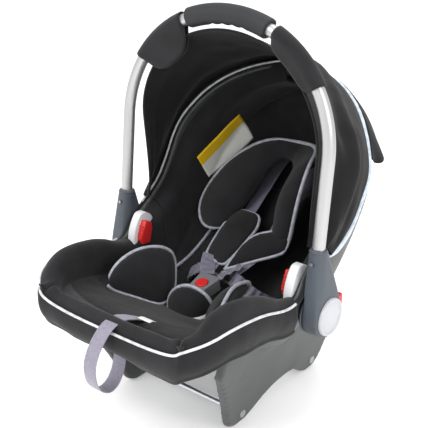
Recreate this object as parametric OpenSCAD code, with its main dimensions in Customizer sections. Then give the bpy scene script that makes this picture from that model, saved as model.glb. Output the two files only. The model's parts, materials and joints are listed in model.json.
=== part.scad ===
// Infant car seat (group 0+ carrier) with a carrying handle and a fixed hood.
// +Z is up, the seat faces -Y and the floor is Z = 0. Lengths along Y are
// measured from the handle's hub axis, which lies at Y = hub_y.

/* [Bucket shell] */
// Half width of the bucket at its widest
shell_half_w = 187; // [165:1:200]
// Distance from the hub axis to the front lip
front_len = 261; // [230:1:300]
// Distance from the hub axis to the head end
back_len = 279; // [240:1:290]
// Height of the bucket's head end above the floor
head_z = 521; // [490:1:530]
// Wall of the moulded bucket
shell_wall = 3; // [2.5:0.1:4]
// Thickness of the energy-absorbing foam
foam_t = 12; // [8:0.5:16]
// Thickness of the padded cover
cover_t = 10; // [6:0.5:12]
// Corner softness of the bucket's cross-section
corner = 0.67; // [0.6:0.01:0.8]

/* [Skids] */
// How far the skids' feet stand inside the bucket's widest half width
skid_in = 71; // [65:1:79]
// Thickness of a skid
skid_t = 16; // [12:1:20]
// Outward lean of a skid in degrees
skid_lean = 15; // [12:0.5:17]
// Radius of the steel cross bars
bar_r = 5; // [4:0.5:7]
// Height of the cross bars above the floor
bar_z = 20; // [16:1:26]
// Radius of a bar screw's head
screw_r = 7; // [6:0.5:9]

/* [Handle] */
// Height of the hub axis above the floor
hub_z = 196; // [190:1:205]
// Radius of the handle hub
hub_r = 36; // [30:1:40]
// Radius of the handle tube
tube_r = 10; // [8:0.5:11]
// Wall of the handle tube
tube_wall = 1.5; // [1:0.1:2.5]
// Distance from the bucket's side to the tube's straight runs
tube_out = 13; // [13:0.5:17]
// Height of the tube's crown above the bucket's head end
crown_over = 113; // [111:1:145]
// Backward lean of the upright handle in degrees
handle_lean = 6; // [0:0.5:9]
// Forward offset of the tube's plane from the hub axis
handle_ahead = 20; // [12:0.5:22]
// Radius of the bend over the crown
crown_r = 225; // [205:1:240]
// Half angle of the crown bend in degrees
crown_a = 20.5; // [19:0.5:24]
// Outer radius of the soft grip
grip_r = 16.5; // [14:0.5:17]
// Radius of the pivot pins
pivot_r = 8; // [6:0.5:10]
// Radius of the round hub caps
cap_r = 31; // [26:1:34]
// Thickness of the round hub caps
cap_t = 6; // [4:0.5:8]

/* [Harness] */
// Width of the harness webbing
web_w = 25; // [20:1:28]
// Thickness of the harness webbing
web_t = 2; // [1.5:0.1:2.5]
// Width of the buckle
buckle_w = 40; // [36:1:46]
// Travel of the buckle's push button
button_travel = 4; // [2:0.5:5]

/* [Hidden] */
hub_y = -20.4;      // centres the seat without its pull strap over the origin
skid_half_w = shell_half_w - skid_in;      // half distance between the skids at the floor
tube_half_w = shell_half_w + tube_out;     // half distance between the tube's straight runs
crown_h = head_z + crown_over - hub_z;     // height of the tube's crown above the hub axis
gap = 0.4;        // clearance between small pieces
lining_gap = 2.0; // clearance between the layers that line the bucket
fit = 0.05;       // radial clearance of the running pivots
press = 0;        // radial clearance of pressed pins
small_fn = 48;
pad_d0 = shell_wall + foam_t + lining_gap;      // underside of the cover
pad_d1 = pad_d0 + cover_t;               // face of the cover
insert_d0 = pad_d1 + lining_gap;                // underside of what lies on the cover

// Stations along the bucket: rim Y share, rim Z, half-width share, floor Y share, floor Z.
// Y shares count in front_len before the hub and in back_len behind it.
STATIONS = [
    [-1.00, 229, 0.76, -1.00, 194],
    [-0.90, 242, 0.90, -0.87, 180],
    [-0.73, 251, 0.97, -0.67, 160],
    [-0.50, 245, 0.99, -0.44, 137],
    [-0.29, 229, 0.99, -0.24, 114],
    [-0.15, 232, 0.99, -0.11, 106],
    [-0.04, 262, 0.98, 0.02, 103],
    [0.09, 288, 0.98, 0.16, 107],
    [0.21, 315, 0.98, 0.32, 124],
    [0.30, 352, 0.98, 0.52, 160],
    [0.35, 382, 0.97, 0.76, 217],
    [0.40, 410, 0.94, 0.98, 290],
    [0.44, 438, 0.85, 1.05, 355],
    [0.49, 470, 0.70, 1.07, 412],
    [0.56, 496, 0.52, 1.055, 455],
    [0.66, 512, 0.34, 1.00, 488],
    [0.77, 521, 0.14, 0.90, 510]
];
S_END = len(STATIONS) - 1;

function mix(a, b, t) = a + (b - a) * t;
function unit(v) = v / norm(v);
function clamp(v, lo, hi) = min(max(v, lo), hi);
function spline(a, b, c, d, t) =
    0.5 * (2 * b + (c - a) * t + (2 * a - 5 * b + 4 * c - d) * t * t + (3 * b - a - 3 * c + d) * t * t * t);
function on_path(p, s) =
    let (n = len(p) - 1, i = clamp(floor(s), 0, n - 1))
    spline(p[max(i - 1, 0)], p[i], p[i + 1], p[min(i + 2, n)], s - i);
function smooth(p, steps) =
    let (n = len(p) - 1) [for (k = [0 : n * steps]) on_path(p, k / steps)];
function along_y(share) = hub_y + share * (share < 0 ? front_len : back_len);
// The lists of points in this model are written for a bucket of these sizes.
drawn_half_w = 187;
drawn_front = 261;
drawn_back = 279;
drawn_head = 521;
stretch_z = 256;       // the bucket stretches with its head end above this height only
function high(z) = z < stretch_z ? z
    : stretch_z + (z - stretch_z) * (head_z - stretch_z) / (drawn_head - stretch_z);
// Moves a point drawn in millimetres from the hub axis along with the bucket's size.
function fitted(p) = [
    p[0] * shell_half_w / drawn_half_w,
    p[1] * (p[1] < 0 ? front_len / drawn_front : back_len / drawn_back),
    high(p[2])
];
function fitted_line(p, steps) = smooth([for (q = p) fitted(q)], steps);

// A point of the bucket's outer surface: s runs from the front lip to the head end,
// a runs across from the left rim (-90) over the floor (0) to the right rim (90).
function skin(s, a) =
    let (st = on_path(STATIONS, clamp(s, 0, S_END)),
         f = pow(max(cos(a), 0), corner),
         x = sign(a) * pow(abs(sin(a)), corner) * st[2] * shell_half_w)
    [x, mix(along_y(st[0]), along_y(st[3]), f), high(mix(st[1], st[4], f))];
function skin_in(s, a) =
    let (da = 3, ds = 0.15,
         across = skin(s, clamp(a + da, -90, 90)) - skin(s, clamp(a - da, -90, 90)),
         along = skin(clamp(s + ds, 0, S_END), a) - skin(clamp(s - ds, 0, S_END), a))
    unit(cross(across, along));
function at(s, a, d) = skin(s, a) + skin_in(s, a) * d;

// Closed sheet between two grids of points with the same layout.
module sheet(low, top) {
    nr = len(low);
    nc = len(low[0]);
    pts = concat([for (r = top) each r], [for (r = low) each r]);
    n = nr * nc;
    function q(i, j, k) = k * n + i * nc + j;
    faces = concat(
        [for (i = [0 : nr - 2]) for (j = [0 : nc - 2]) each
            [[q(i, j, 0), q(i + 1, j, 0), q(i + 1, j + 1, 0)], [q(i, j, 0), q(i + 1, j + 1, 0), q(i, j + 1, 0)]]],
        [for (i = [0 : nr - 2]) for (j = [0 : nc - 2]) each
            [[q(i, j, 1), q(i + 1, j + 1, 1), q(i + 1, j, 1)], [q(i, j, 1), q(i, j + 1, 1), q(i + 1, j + 1, 1)]]],
        [for (i = [0 : nr - 2]) each
            [[q(i, 0, 0), q(i, 0, 1), q(i + 1, 0, 1)], [q(i, 0, 0), q(i + 1, 0, 1), q(i + 1, 0, 0)],
             [q(i, nc - 1, 0), q(i + 1, nc - 1, 1), q(i, nc - 1, 1)],
             [q(i, nc - 1, 0), q(i + 1, nc - 1, 0), q(i + 1, nc - 1, 1)]]],
        [for (j = [0 : nc - 2]) each
            [[q(0, j, 0), q(0, j + 1, 1), q(0, j, 1)], [q(0, j, 0), q(0, j + 1, 0), q(0, j + 1, 1)],
             [q(nr - 1, j, 0), q(nr - 1, j, 1), q(nr - 1, j + 1, 1)],
             [q(nr - 1, j, 0), q(nr - 1, j + 1, 1), q(nr - 1, j + 1, 0)]]]);
    polyhedron(points = pts, faces = faces, convexity = 8);
}

// Layer of the bucket between depths d0 and d1, which may swell in its middle by bulge.
module layer(s0, s1, a0, a1, d0, d1, ns, na, bulge = 0) {
    function swell(i, j) = bulge * pow(max(sin(180 * i / ns) * sin(180 * j / na), 0), 0.5);
    low = [for (i = [0 : ns]) [for (j = [0 : na]) at(mix(s0, s1, i / ns), mix(a0, a1, j / na), d0)]];
    top = [for (i = [0 : ns]) [for (j = [0 : na])
        at(mix(s0, s1, i / ns), mix(a0, a1, j / na), d1 + swell(i, j))]];
    sheet(low, top);
}

// Cushion between two edge lines: crowned by rise towards out and by base away from it.
module cushion(first, second, out, rise, base, cols) {
    n = len(first) - 1;
    way = unit(out);
    edge = 1.5;           // half thickness of its seam
    function crown(i, j) = pow(max(sin(180 * i / n), 0), 0.35) * pow(max(sin(180 * j / cols), 0), 0.5);
    function face(i, j, h, e) = mix(first[i], second[i], j / cols) + way * (h * crown(i, j) + e);
    low = [for (i = [0 : n]) [for (j = [0 : cols]) face(i, j, -base, -edge)]];
    top = [for (i = [0 : n]) [for (j = [0 : cols]) face(i, j, rise, edge)]];
    m = floor(n / 2);
    if (cross(first[m + 1] - first[m], second[m] - first[m]) * way < 0) sheet(low, top);
    else sheet(top, low);
}

// Flat webbing along a path, wide along side.
module ribbon(path, w, t, side) {
    n = len(path);
    function dir(i) = unit(path[min(i + 1, n - 1)] - path[max(i - 1, 0)]);
    function wide(i) = unit(side - dir(i) * (side * dir(i)));
    function face(i) = cross(dir(i), wide(i));
    low = [for (i = [0 : n - 1]) [for (k = [-1, 1]) path[i] + wide(i) * k * w / 2 - face(i) * t / 2]];
    top = [for (i = [0 : n - 1]) [for (k = [-1, 1]) path[i] + wide(i) * k * w / 2 + face(i) * t / 2]];
    sheet(top, low);
}

// Round or oval body along a path; each point has its own half sizes [wide, thick].
module sausage(path, sizes, side, sides) {
    n = len(path);
    function dir(i) = unit(path[min(i + 1, n - 1)] - path[max(i - 1, 0)]);
    function wide(i) = unit(side - dir(i) * (side * dir(i)));
    function face(i) = cross(dir(i), wide(i));
    pts = [for (i = [0 : n - 1]) for (k = [0 : sides - 1]) let (a = 360 * k / sides)
        path[i] + wide(i) * sizes[i][0] * cos(a) + face(i) * sizes[i][1] * sin(a)];
    function q(i, k) = i * sides + (k % sides);
    faces = concat(
        [[for (k = [0 : sides - 1]) k]],
        [[for (k = [sides - 1 : -1 : 0]) q(n - 1, k)]],
        [for (i = [0 : n - 2]) for (k = [0 : sides - 1]) each
            [[q(i, k), q(i + 1, k), q(i + 1, k + 1)], [q(i, k), q(i + 1, k + 1), q(i, k + 1)]]]);
    polyhedron(points = pts, faces = faces, convexity = 6);
}

// Cylinder along X between x0 and x1, centred dy behind the hub axis at height z.
module x_rod(x0, x1, dy, z, r) {
    translate([x0, hub_y + dy, z])
        rotate([0, 90, 0])
            cylinder(h = x1 - x0, r = r, $fn = small_fn);
}

// Hollow round tube along a path in the plane Y = 0.
module pipe(path, ro, ri, sides) {
    n = len(path);
    function dir(i) = unit(path[min(i + 1, n - 1)] - path[max(i - 1, 0)]);
    function ring(i, r) = [for (k = [0 : sides - 1]) let (a = 360 * k / sides)
        path[i] + cross(dir(i), [0, 1, 0]) * r * cos(a) + [0, 1, 0] * r * sin(a)];
    pts = concat([for (i = [0 : n - 1]) each ring(i, ro)], [for (i = [0 : n - 1]) each ring(i, ri)]);
    function q(i, k, w) = w * n * sides + i * sides + (k % sides);
    faces = concat(
        [for (i = [0 : n - 2]) for (k = [0 : sides - 1]) each
            [[q(i, k, 0), q(i + 1, k + 1, 0), q(i + 1, k, 0)], [q(i, k, 0), q(i, k + 1, 0), q(i + 1, k + 1, 0)],
             [q(i, k, 1), q(i + 1, k, 1), q(i + 1, k + 1, 1)], [q(i, k, 1), q(i + 1, k + 1, 1), q(i, k + 1, 1)]]],
        [for (k = [0 : sides - 1]) each
            [[q(0, k, 0), q(0, k, 1), q(0, k + 1, 1)], [q(0, k, 0), q(0, k + 1, 1), q(0, k + 1, 0)],
             [q(n - 1, k, 0), q(n - 1, k + 1, 1), q(n - 1, k, 1)],
             [q(n - 1, k, 0), q(n - 1, k + 1, 0), q(n - 1, k + 1, 1)]]]);
    polyhedron(points = pts, faces = faces, convexity = 8);
}

module mirrored(side) {
    if (side > 0) children();
    else mirror([1, 0, 0]) children();
}

// ---- Shell, skids and steel ----

housing_x0 = shell_half_w - 6.5;       // inner end of the hub housing
housing_x1 = shell_half_w + 4.5;       // outer face of the hub housing
housing_r = 24;                        // its spigot through the bucket wall
leg_x0 = housing_x1 + 0.5;             // inner face of the handle leg
leg_x1 = tube_half_w + tube_r + 10;    // outer face of the handle leg

module seat_shell() color("DimGray")
    difference() {
        layer(0, S_END, -90, 90, 0, shell_wall, 30, 26);
        for (side = [-1, 1]) mirrored(side)
            x_rod(shell_half_w - 37, shell_half_w + 23, 0, hub_z, housing_r);
        for (x = [-1, 1]) translate([0, hub_y, 0])
            translate(fitted([x * slot_x, 250, 330]))
                rotate([35, 0, 0])
                    cube([web_w + 6, 60, 8], center = true);
    }

// Free edge of a skid seen from the side: down its front, along the floor with an
// arch between the two feet, and up its back. [Y from the hub, Z]
SKID_EDGE = [
    [-188, 148], [-167, 108], [-142, 58], [-128, 25], [-119, 7], [-104, 0], [-70, 0], [-58, 6],
    [-24, 26], [0, 33], [28, 36], [58, 30], [92, 6], [104, 0], [130, 0], [141, 6], [148, 25],
    [152, 60], [146, 100], [125, 128]
];
skid_s = [2.0, 8.0];        // stations of the bucket between which a skid joins it

// Angle across the bucket at which its surface meets a plane leaning out from the floor.
function meet(s, foot_x, lo, hi, n) =
    let (m = (lo + hi) / 2, p = skin(s, m), out = p[0] > foot_x + p[2] * tan(skid_lean))
    n == 0 ? m : meet(s, foot_x, out ? lo : m, out ? m : hi, n - 1);

module skid_plate() {
    n = len(SKID_EDGE) - 1;
    nv = 3;
    function face(i, j, foot_x) =
        let (s = mix(skid_s[0], skid_s[1], i / n), e = SKID_EDGE[i],
             root = at(s, meet(s, foot_x, 10, 88, 14), -0.6),
             edge = [foot_x + e[1] * tan(skid_lean), hub_y + e[0], e[1]])
        mix(edge, root, j / nv);
    outer = [for (i = [0 : n]) [for (j = [0 : nv]) face(i, j, skid_half_w)]];
    inner = [for (i = [0 : n]) [for (j = [0 : nv]) face(i, j, skid_half_w - skid_t)]];
    sheet(outer, inner);
}

module skid(side) color("DimGray")
    mirrored(side)
        difference() {
            skid_plate();
            for (dy = [bar_front_dy, bar_rear_dy]) {
                x_rod(0, shell_half_w, dy, bar_z, bar_r);
                x_rod(bar_half, shell_half_w, dy, bar_z, screw_r + 0.3);
            }
        }

bar_front_dy = -88;
bar_rear_dy = 118;
bar_half = skid_half_w + bar_z * tan(skid_lean) - 3;

module cross_bar(dy) color("Silver")
    x_rod(-bar_half, bar_half, dy, bar_z, bar_r);

module bar_screws() color("Gray")
    for (side = [-1, 1]) for (dy = [bar_front_dy, bar_rear_dy]) mirrored(side)
        x_rod(bar_half, bar_half + 4, dy, bar_z, screw_r);

// ---- Foam, cover and trim ----

// Leaves room for the lever bezels, the harness slots and the adjuster in the bucket's lining.
module lining_cuts()
    difference() {
        children();
        for (side = [-1, 1]) at_lever(side)
            translate([-40, -lever_w / 2 - 8, -lever_h / 2 - 12])
                cube([90, lever_w + lever_travel + 16, 120]);
        translate([-web_w / 2 - 1, hub_y + CROTCH[0][1] - 28, 60])
            cube([web_w + 2, 34, 120]);
        for (x = [-1, 1]) translate([0, hub_y, 0])
            translate(fitted([x * slot_x, 250, strap_exit[2] + 2]))
                rotate([20, 0, 0])
                    cube([web_w + 6, 90, 8], center = true);
        at_adjuster()
            translate([-adjuster_size[0] / 2 - 1, -adjuster_size[1] / 2 - 1, -10])
                cube([adjuster_size[0] + 2, adjuster_size[1] + 2, 12 + adjuster_size[2]]);
        at_adjuster()
            translate([-17, -12, 0])
                cube([34, 36, 60]);
    }

module foam_liner() color("White")
    lining_cuts() layer(0.2, S_END - 0.5, -82, 82, shell_wall + lining_gap, shell_wall + foam_t, 26, 20);

pad_split = 7.2;       // station where the seat cover meets the back cover
module seat_pad() color("Black")
    lining_cuts() layer(0.05, pad_split, -88, 88, pad_d0, pad_d1, 18, 22);
module back_pad() color("Black")
    lining_cuts() layer(pad_split + 0.03, S_END - 0.15, -88, 88, pad_d0, pad_d1, 22, 22);

// Rim path from the left hub round the front lip to the right hub.
skirt_s = 4.6;
lip_rise = 18;         // the padding lifts the cover this far over the middle of the lip
rim_front = concat(
    [for (k = [0 : 9]) at(mix(skirt_s, 0.1, k / 9), -90, 0)],
    [for (k = [1 : 9]) let (a = mix(-90, 90, k / 10)) at(0, a, 0) + [0, 0, lip_rise * pow(cos(a), 0.5)]],
    [for (k = [0 : 9]) at(mix(0.1, skirt_s, k / 9), 90, 0)]);
skirt_out = 4;
skirt_drop = 54;
skirt_tuck = 21;
skirt_t = 5;

module front_skirt() {
    c = [0, hub_y - 40, 0];
    function out(p) = let (v = p - c) unit([v[0], v[1], 0]);
    function tuck(o) = skirt_tuck * pow(max(-o[1], 0), 6);
    low = [for (p = rim_front) [for (k = [0 : 4]) let (o = out(p), g = k / 4)
        p + o * (skirt_out - tuck(o) * pow(g, 4)) + [0, 0, 6 - skirt_drop * g]]];
    top = [for (p = rim_front) [for (k = [0 : 4]) let (o = out(p), g = k / 4)
        p + o * (skirt_out + skirt_t - tuck(o) * pow(g, 4)) + [0, 0, 6 - skirt_drop * g]]];
    color("Black")
        sheet(low, top);
}

// The hood's hem on the outside of the bucket: [station, angle across].
HEM = [[7.4, 88], [9, 80], [10.6, 77], [12.2, 70], [13.5, 54], [14.5, 30], [14.9, 0]];
HEM_END = len(HEM) - 1;
function hem_at(u, d, beyond = 0) =
    let (h = on_path(HEM, (1 - abs(u)) * HEM_END))
    at(h[0] - 0.06 * beyond, (u < 0 ? -1 : 1) * max(h[1] - beyond, 0), -d);

binding_w = 12;
binding_t = 2.5;
binding_gap = 1;
module rim_binding() {
    n = 40;
    function band(u, d, w) = let (p = hem_at(u, d), q = hem_at(u, d, 4)) p + unit(q - p) * w;
    low = [for (k = [0 : n]) [for (w = [0, 0.5, 1])
        band(mix(-1, 1, k / n), binding_gap, w * binding_w)]];
    top = [for (k = [0 : n]) [for (w = [0, 0.5, 1])
        band(mix(-1, 1, k / n), binding_gap + binding_t, w * binding_w)]];
    color("LightSteelBlue")
        sheet(top, low);
}

// ---- Hubs, levers and lock buttons ----

module hub_housing(side) color("DarkSlateGray")
    mirrored(side)
        difference() {
            union() {
                x_rod(housing_x0, housing_x1, 0, hub_z, housing_r);
                x_rod(shell_half_w + 0.5, housing_x1, 0, hub_z, hub_r);
            }
            x_rod(housing_x0 - 1, housing_x1 + 1, 0, hub_z, pivot_r + press);
        }

module pivot_pin(side) color("Silver")
    mirrored(side)
        x_rod(housing_x0 + 0.5, leg_x1 - 6, 0, hub_z, pivot_r);

bezel_x = shell_half_w - 25;
bezel_t = 12;
lever_dy = -14;
lever_z = 241;
lever_w = 16;
lever_h = 52;
lever_travel = 6;

module at_lever(side)
    mirrored(side)
        translate([bezel_x, hub_y + lever_dy, lever_z])
            rotate([-22, 0, 0])
                children();

module lever_bezel(side) color("White")
    at_lever(side)
        difference() {
            translate([0, -lever_w / 2 - 6, -lever_h / 2 - 10])
                cube([bezel_t, lever_w + lever_travel + 12, lever_h + 20]);
            translate([-1, -lever_w / 2 - gap, -lever_h / 2 - gap])
                cube([bezel_t + 2, lever_w + lever_travel + 2 * gap, lever_h + 2 * gap]);
        }

module release_lever(side) color("Red")
    at_lever(side)
        difference() {
            translate([-6, -lever_w / 2, -lever_h / 2])
                cube([bezel_t + 4, lever_w, lever_h]);
            for (k = [-2 : 2])
                translate([-7, -lever_w / 2 - 1, k * 8 - 1])
                    cube([2.5, lever_w + 2, 2]);
        }

lock_size = [14, 28, 24];      // across, along its travel, high
lock_travel = 5;
lock_at = [leg_x0 + 7, 24, -6];       // corner beside, behind and above the hub axis

// A box at a lock button, grown by the clearance c and reaching deep before it.
module lock_box(c, deep)
    translate([lock_at[0] - c, hub_y + lock_at[1] - deep, hub_z + lock_at[2] - c])
        cube([lock_size[0] + 2 * c, lock_size[1] + deep, lock_size[2] + 2 * c]);

module lock_button(side) color("Red")
    mirrored(side)
        lock_box(0, 0);

// ---- Handle ----

shoulder_r = (tube_half_w - crown_r * sin(crown_a)) / (1 - sin(crown_a));
straight_top = crown_h - crown_r * (1 - cos(crown_a)) - shoulder_r * cos(crown_a);
leg_top = 114;
socket_bottom = 62;

// Handle plane: X across, Z along the tube, its origin at hub height.
module handle_plane()
    translate([0, hub_y - handle_ahead, hub_z])
        rotate([-handle_lean, 0, 0])
            children();

// Ring sector about the crown's or a shoulder's centre, of the 2D shape given as a child.
module bend(cx, cz, r, from, to)
    translate([cx, 0, cz])
        rotate([90, 0, 0])
            rotate([0, 0, from])
                rotate_extrude(angle = to - from, $fn = 96)
                    translate([r, 0])
                        children();

// Centre line of the tube, or of a line inset from it, in the handle plane: u runs from the
// left foot (-1) over the crown (0) to the right foot (1), at height foot above the hub.
crown_part = 0.28;
bend_part = 0.4;
function bow(u, inset, foot) =
    let (m = abs(u), top = m < crown_part,
         a = top ? crown_a * m / crown_part
                 : crown_a + (90 - crown_a) * clamp((m - crown_part) / bend_part, 0, 1),
         run = clamp((m - crown_part - bend_part) / (1 - crown_part - bend_part), 0, 1),
         x = top ? (crown_r - inset) * sin(a) : tube_half_w - shoulder_r + (shoulder_r - inset) * sin(a),
         z = top ? crown_h - crown_r + (crown_r - inset) * cos(a)
                 : straight_top + (shoulder_r - inset) * cos(a))
    [(u < 0 ? -1 : 1) * x, 0, z - run * (straight_top - foot)];

module tube_ring(ro, ri)
    difference() {
        circle(r = ro, $fn = small_fn);
        circle(r = ri, $fn = small_fn);
    }

module handle_tube() color("Silver")
    difference() {
        handle_plane()
            pipe([for (k = [-25 : 25]) bow(k / 25, 0, socket_bottom)], tube_r, tube_r - tube_wall, 20);
        rivets();
    }

grip_a = 20;
groove_pitch = 5.6;
groove_r = 10;
groove_depth = 3;
module handle_grip() color("#303236")
    handle_plane()
        difference() {
            bend(0, crown_h - crown_r, crown_r, 90 - grip_a, 90 + grip_a) tube_ring(grip_r, tube_r + gap);
            for (k = [-1.5 : 1 : 1.5]) let (a = k * groove_pitch, r = crown_r - grip_r - groove_r + groove_depth)
                translate([r * sin(a), -30, crown_h - crown_r + r * cos(a)])
                    rotate([-90, 0, 0])
                        cylinder(h = 60, r = groove_r, $fn = small_fn);
        }

module handle_leg(side) color("#4b545c")
    mirrored(side)
        difference() {
            hull() {
                x_rod(leg_x0, leg_x1, 0, hub_z, hub_r);
                handle_plane()
                    translate([tube_half_w, 0, leg_top - 1])
                        cylinder(h = 1, r = tube_r + 3.5, $fn = 32);
                handle_plane()
                    translate([tube_half_w + 3, 0, leg_top - 60])
                        cylinder(h = 1, r = tube_r + 6, $fn = 32);
            }
            x_rod(leg_x0 - 20, leg_x1 + 20, 0, hub_z, pivot_r + fit);
            handle_plane()
                translate([tube_half_w, 0, socket_bottom])
                    cylinder(h = leg_top, r = tube_r + fit, $fn = small_fn);
            translate([leg_x0 - 40, hub_y - 60, hub_z - 60])
                cube([40, 120, 97]);
            lock_box(gap, lock_travel + 1);
            rivets();
        }

module hub_cap(side) color("White")
    mirrored(side)
        x_rod(leg_x1, leg_x1 + cap_t, 0, hub_z, cap_r);

rivet_r = 2.5;
module rivets()
    for (side = [-1, 1]) mirrored(side)
        handle_plane()
            translate([tube_half_w, -tube_r - 8, leg_top - 22])
                rotate([-90, 0, 0])
                    cylinder(h = 2 * tube_r + 16, r = rivet_r, $fn = small_fn);

module leg_rivets() color("Silver")
    rivets();

// ---- Hood ----

tab_r = tube_r + 3.5;
tab_from = 28;
tab_to = 62;
module canopy_tab(side) color("Black")
    mirrored(side)
        handle_plane()
            bend(tube_half_w - shoulder_r, straight_top, shoulder_r, tab_from, tab_to)
                tube_ring(tab_r, tube_r + gap);

hood_gap = 5;
hood_t = 2.5;
hood_in = tube_r + 14;      // how far inside the tube the hood's front edge runs
hood_foot = 100;             // height of the front edge's lower end above the hub
hood_back = 24;             // how far the lower end lies behind the tube
hood_swell = 22;            // how far the stretched cloth arches outwards

// Front edge of the hood: u runs from the left hub (-1) over the crown (0) to the right hub (1).
function arch(u) =
    let (p = bow(u, hood_in, hood_foot), run = smooth_step((abs(u) - 0.6) / 0.4),
         back = hood_back * smooth_step((abs(u) - 0.45) / 0.55))
    [p[0] * (1 - 0.06 * run), hub_y - handle_ahead + p[2] * sin(handle_lean) + back,
     hub_z + p[2] * cos(handle_lean)];
function smooth_step(t) = let (c = clamp(t, 0, 1)) c * c * (3 - 2 * c);
function hood_point(u, v, d) =
    let (p = mix(arch(u), hem_at(u, hood_gap), v),
         o = unit(p - [0, hub_y + 60, hub_z + 120]),
         swell = hood_swell * sin(180 * v) * (1 - 0.6 * abs(u)))
    p + o * (swell + d);

module canopy() {
    nu = 28;
    nv = 8;
    low = [for (i = [0 : nu]) [for (j = [0 : nv]) hood_point(mix(-1, 1, i / nu), j / nv, 0)]];
    top = [for (i = [0 : nu]) [for (j = [0 : nv]) hood_point(mix(-1, 1, i / nu), j / nv, hood_t)]];
    color("Black")
        sheet(top, low);
}

// Loose flap that hangs from the hood's hem behind the head end.
tail_reach = 0.55;
tail_drop = 1.1;
tail_gap = 11;           // from the bucket, clear of the hem's binding
tail_flare = 14;        // how far its lower edge stands out at its ends; the middle hangs straight
module canopy_tail() {
    nu = 16;
    nv = 3;
    function flap(i, j, d) =
        let (u = mix(-tail_reach, tail_reach, i / nu), v = j / nv,
             h = on_path(HEM, (1 - abs(u)) * HEM_END))
        at(h[0] - tail_drop * v, (u < 0 ? -1 : 1) * max(h[1], 0) * (1 - 0.1 * v),
            -(tail_gap + tail_flare * v * pow(abs(2 * i / nu - 1), 1.5) + d));
    low = [for (i = [0 : nu]) [for (j = [0 : nv]) flap(i, j, 0)]];
    top = [for (i = [0 : nu]) [for (j = [0 : nv]) flap(i, j, 4)]];
    color("Black")
        sheet(top, low);
}

// ---- Inserts ----

module head_hugger() {
    half = fitted_line([[0, 200, 372], [-56, 192, 362], [-102, 158, 330], [-112, 126, 292], [-92, 106, 256]], 4);
    n = len(half) - 1;
    path = concat([for (k = [n : -1 : 1]) half[k]], [for (p = half) [-p[0], p[1], p[2]]]);
    m = len(path) - 1;
    sizes = [for (k = [0 : m]) let (e = pow(sin(180 * clamp(k / m, 0.03, 0.97)), 0.35), side = abs(2 * k / m - 1))
        [mix(15, 36, side) * e, mix(16, 27, side) * e]];
    color("Black")
        sausage([for (p = path) [p[0], hub_y + p[1], p[2]]], sizes, [0, -0.75, -0.66], 14);
}

module body_insert() color("Black")
    layer(7.6, 10.7, -26, 26, insert_d0, insert_d0 + 5, 10, 12, 8);

// Upper and lower seam of a hip bolster, from its front over its crest to its back.
BOLSTER_TOP = [
    [110, -146, 206], [110, -136, 225], [107, -115, 240], [98, -85, 248], [86, -52, 244],
    [78, -34, 230], [74, -28, 212], [68, -34, 193]
];
BOLSTER_LOW = [
    [108, -144, 201], [100, -136, 194], [88, -122, 186], [73, -108, 179], [60, -98, 174],
    [52, -86, 170], [52, -66, 173], [58, -46, 182]
];
module hip_bolster(side) color("Black")
    mirrored(side)
        translate([0, hub_y, 0])
            cushion(fitted_line(BOLSTER_TOP, 3), fitted_line(BOLSTER_LOW, 3), [-0.62, -0.55, 0.55], 15, 2, 8);

// ---- Harness ----

buckle_dy = -41;
buckle_z = 190;
buckle_tilt = 12;
buckle_l = 52;
buckle_t = 22;
module at_buckle()
    translate([0, hub_y + buckle_dy, buckle_z])
        rotate([buckle_tilt, 0, 0])
            children();

button_r = 11;
pocket_z = -buckle_t / 2 + 6;      // floor of the button's pocket
spring_room = 6;                   // between that floor and the button
module buckle_body() color("Gray")
    at_buckle()
        difference() {
            hull()
                for (x = [-1, 1]) {
                    translate([x * (buckle_w / 2 - 6), buckle_l / 2 - 6, -buckle_t / 2])
                        cylinder(h = buckle_t, r = 6, $fn = 32);
                    translate([x * (buckle_w / 2 - 11), -buckle_l / 2 + 6, -buckle_t / 2])
                        cylinder(h = buckle_t, r = 6, $fn = 32);
                }
            translate([0, 0, pocket_z])
                cylinder(h = buckle_t, r = button_r + gap, $fn = small_fn);
            translate([-buckle_w / 2 + 4, 13, -3])
                cube([buckle_w - 8, 30, 6]);
            translate([-web_w / 2 - 0.5, -buckle_l, -2])
                cube([web_w + 1, buckle_l - 14, 4]);
        }

module buckle_button() color("Red")
    at_buckle()
        translate([0, 0, pocket_z + spring_room])
            cylinder(h = buckle_t / 2 + 1, r = button_r, $fn = small_fn);

module buckle_spring() color("Silver")
    at_buckle()
        translate([0, 0, pocket_z])
            difference() {
                cylinder(h = spring_room - button_travel - 0.2, r = 5, $fn = small_fn);
                translate([0, 0, -1])
                    cylinder(h = 10, r = 3.5, $fn = small_fn);
            }

// Steel tongue: a blade in the buckle and a slotted plate for the webbing.
module tongue(side) color("Silver")
    at_buckle()
        mirrored(side)
            difference() {
                union() {
                    translate([1, 14, -1.5])
                        cube([14, 20, 3]);
                    translate([1, 30, -1.5])
                        cube([30, 14, 3]);
                }
                translate([3.5, 36, -5])
                    cube([25, 4.5, 10]);
            }

slot_x = 38;
strap_tail = [slot_x, 262, 326];      // behind the bucket's wall
strap_exit = [slot_x, 232, 322];
strap_low = [21, 4, 203];
// The right strap lies further out than the left one, with its pad turned aside.
STRAP_LEFT = [strap_tail, strap_exit, [33, 118, 252], strap_low];
STRAP_RIGHT = [strap_tail, strap_exit, [37, 140, 265], [42, 84, 238], [38, 44, 222], strap_low];

module shoulder_strap(side) color("#6d6a7c")
    mirrored(side)
        translate([0, hub_y, 0])
            ribbon(fitted_line(side < 0 ? STRAP_LEFT : STRAP_RIGHT, 5), web_w, web_t, [1, 0, 0]);

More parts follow.
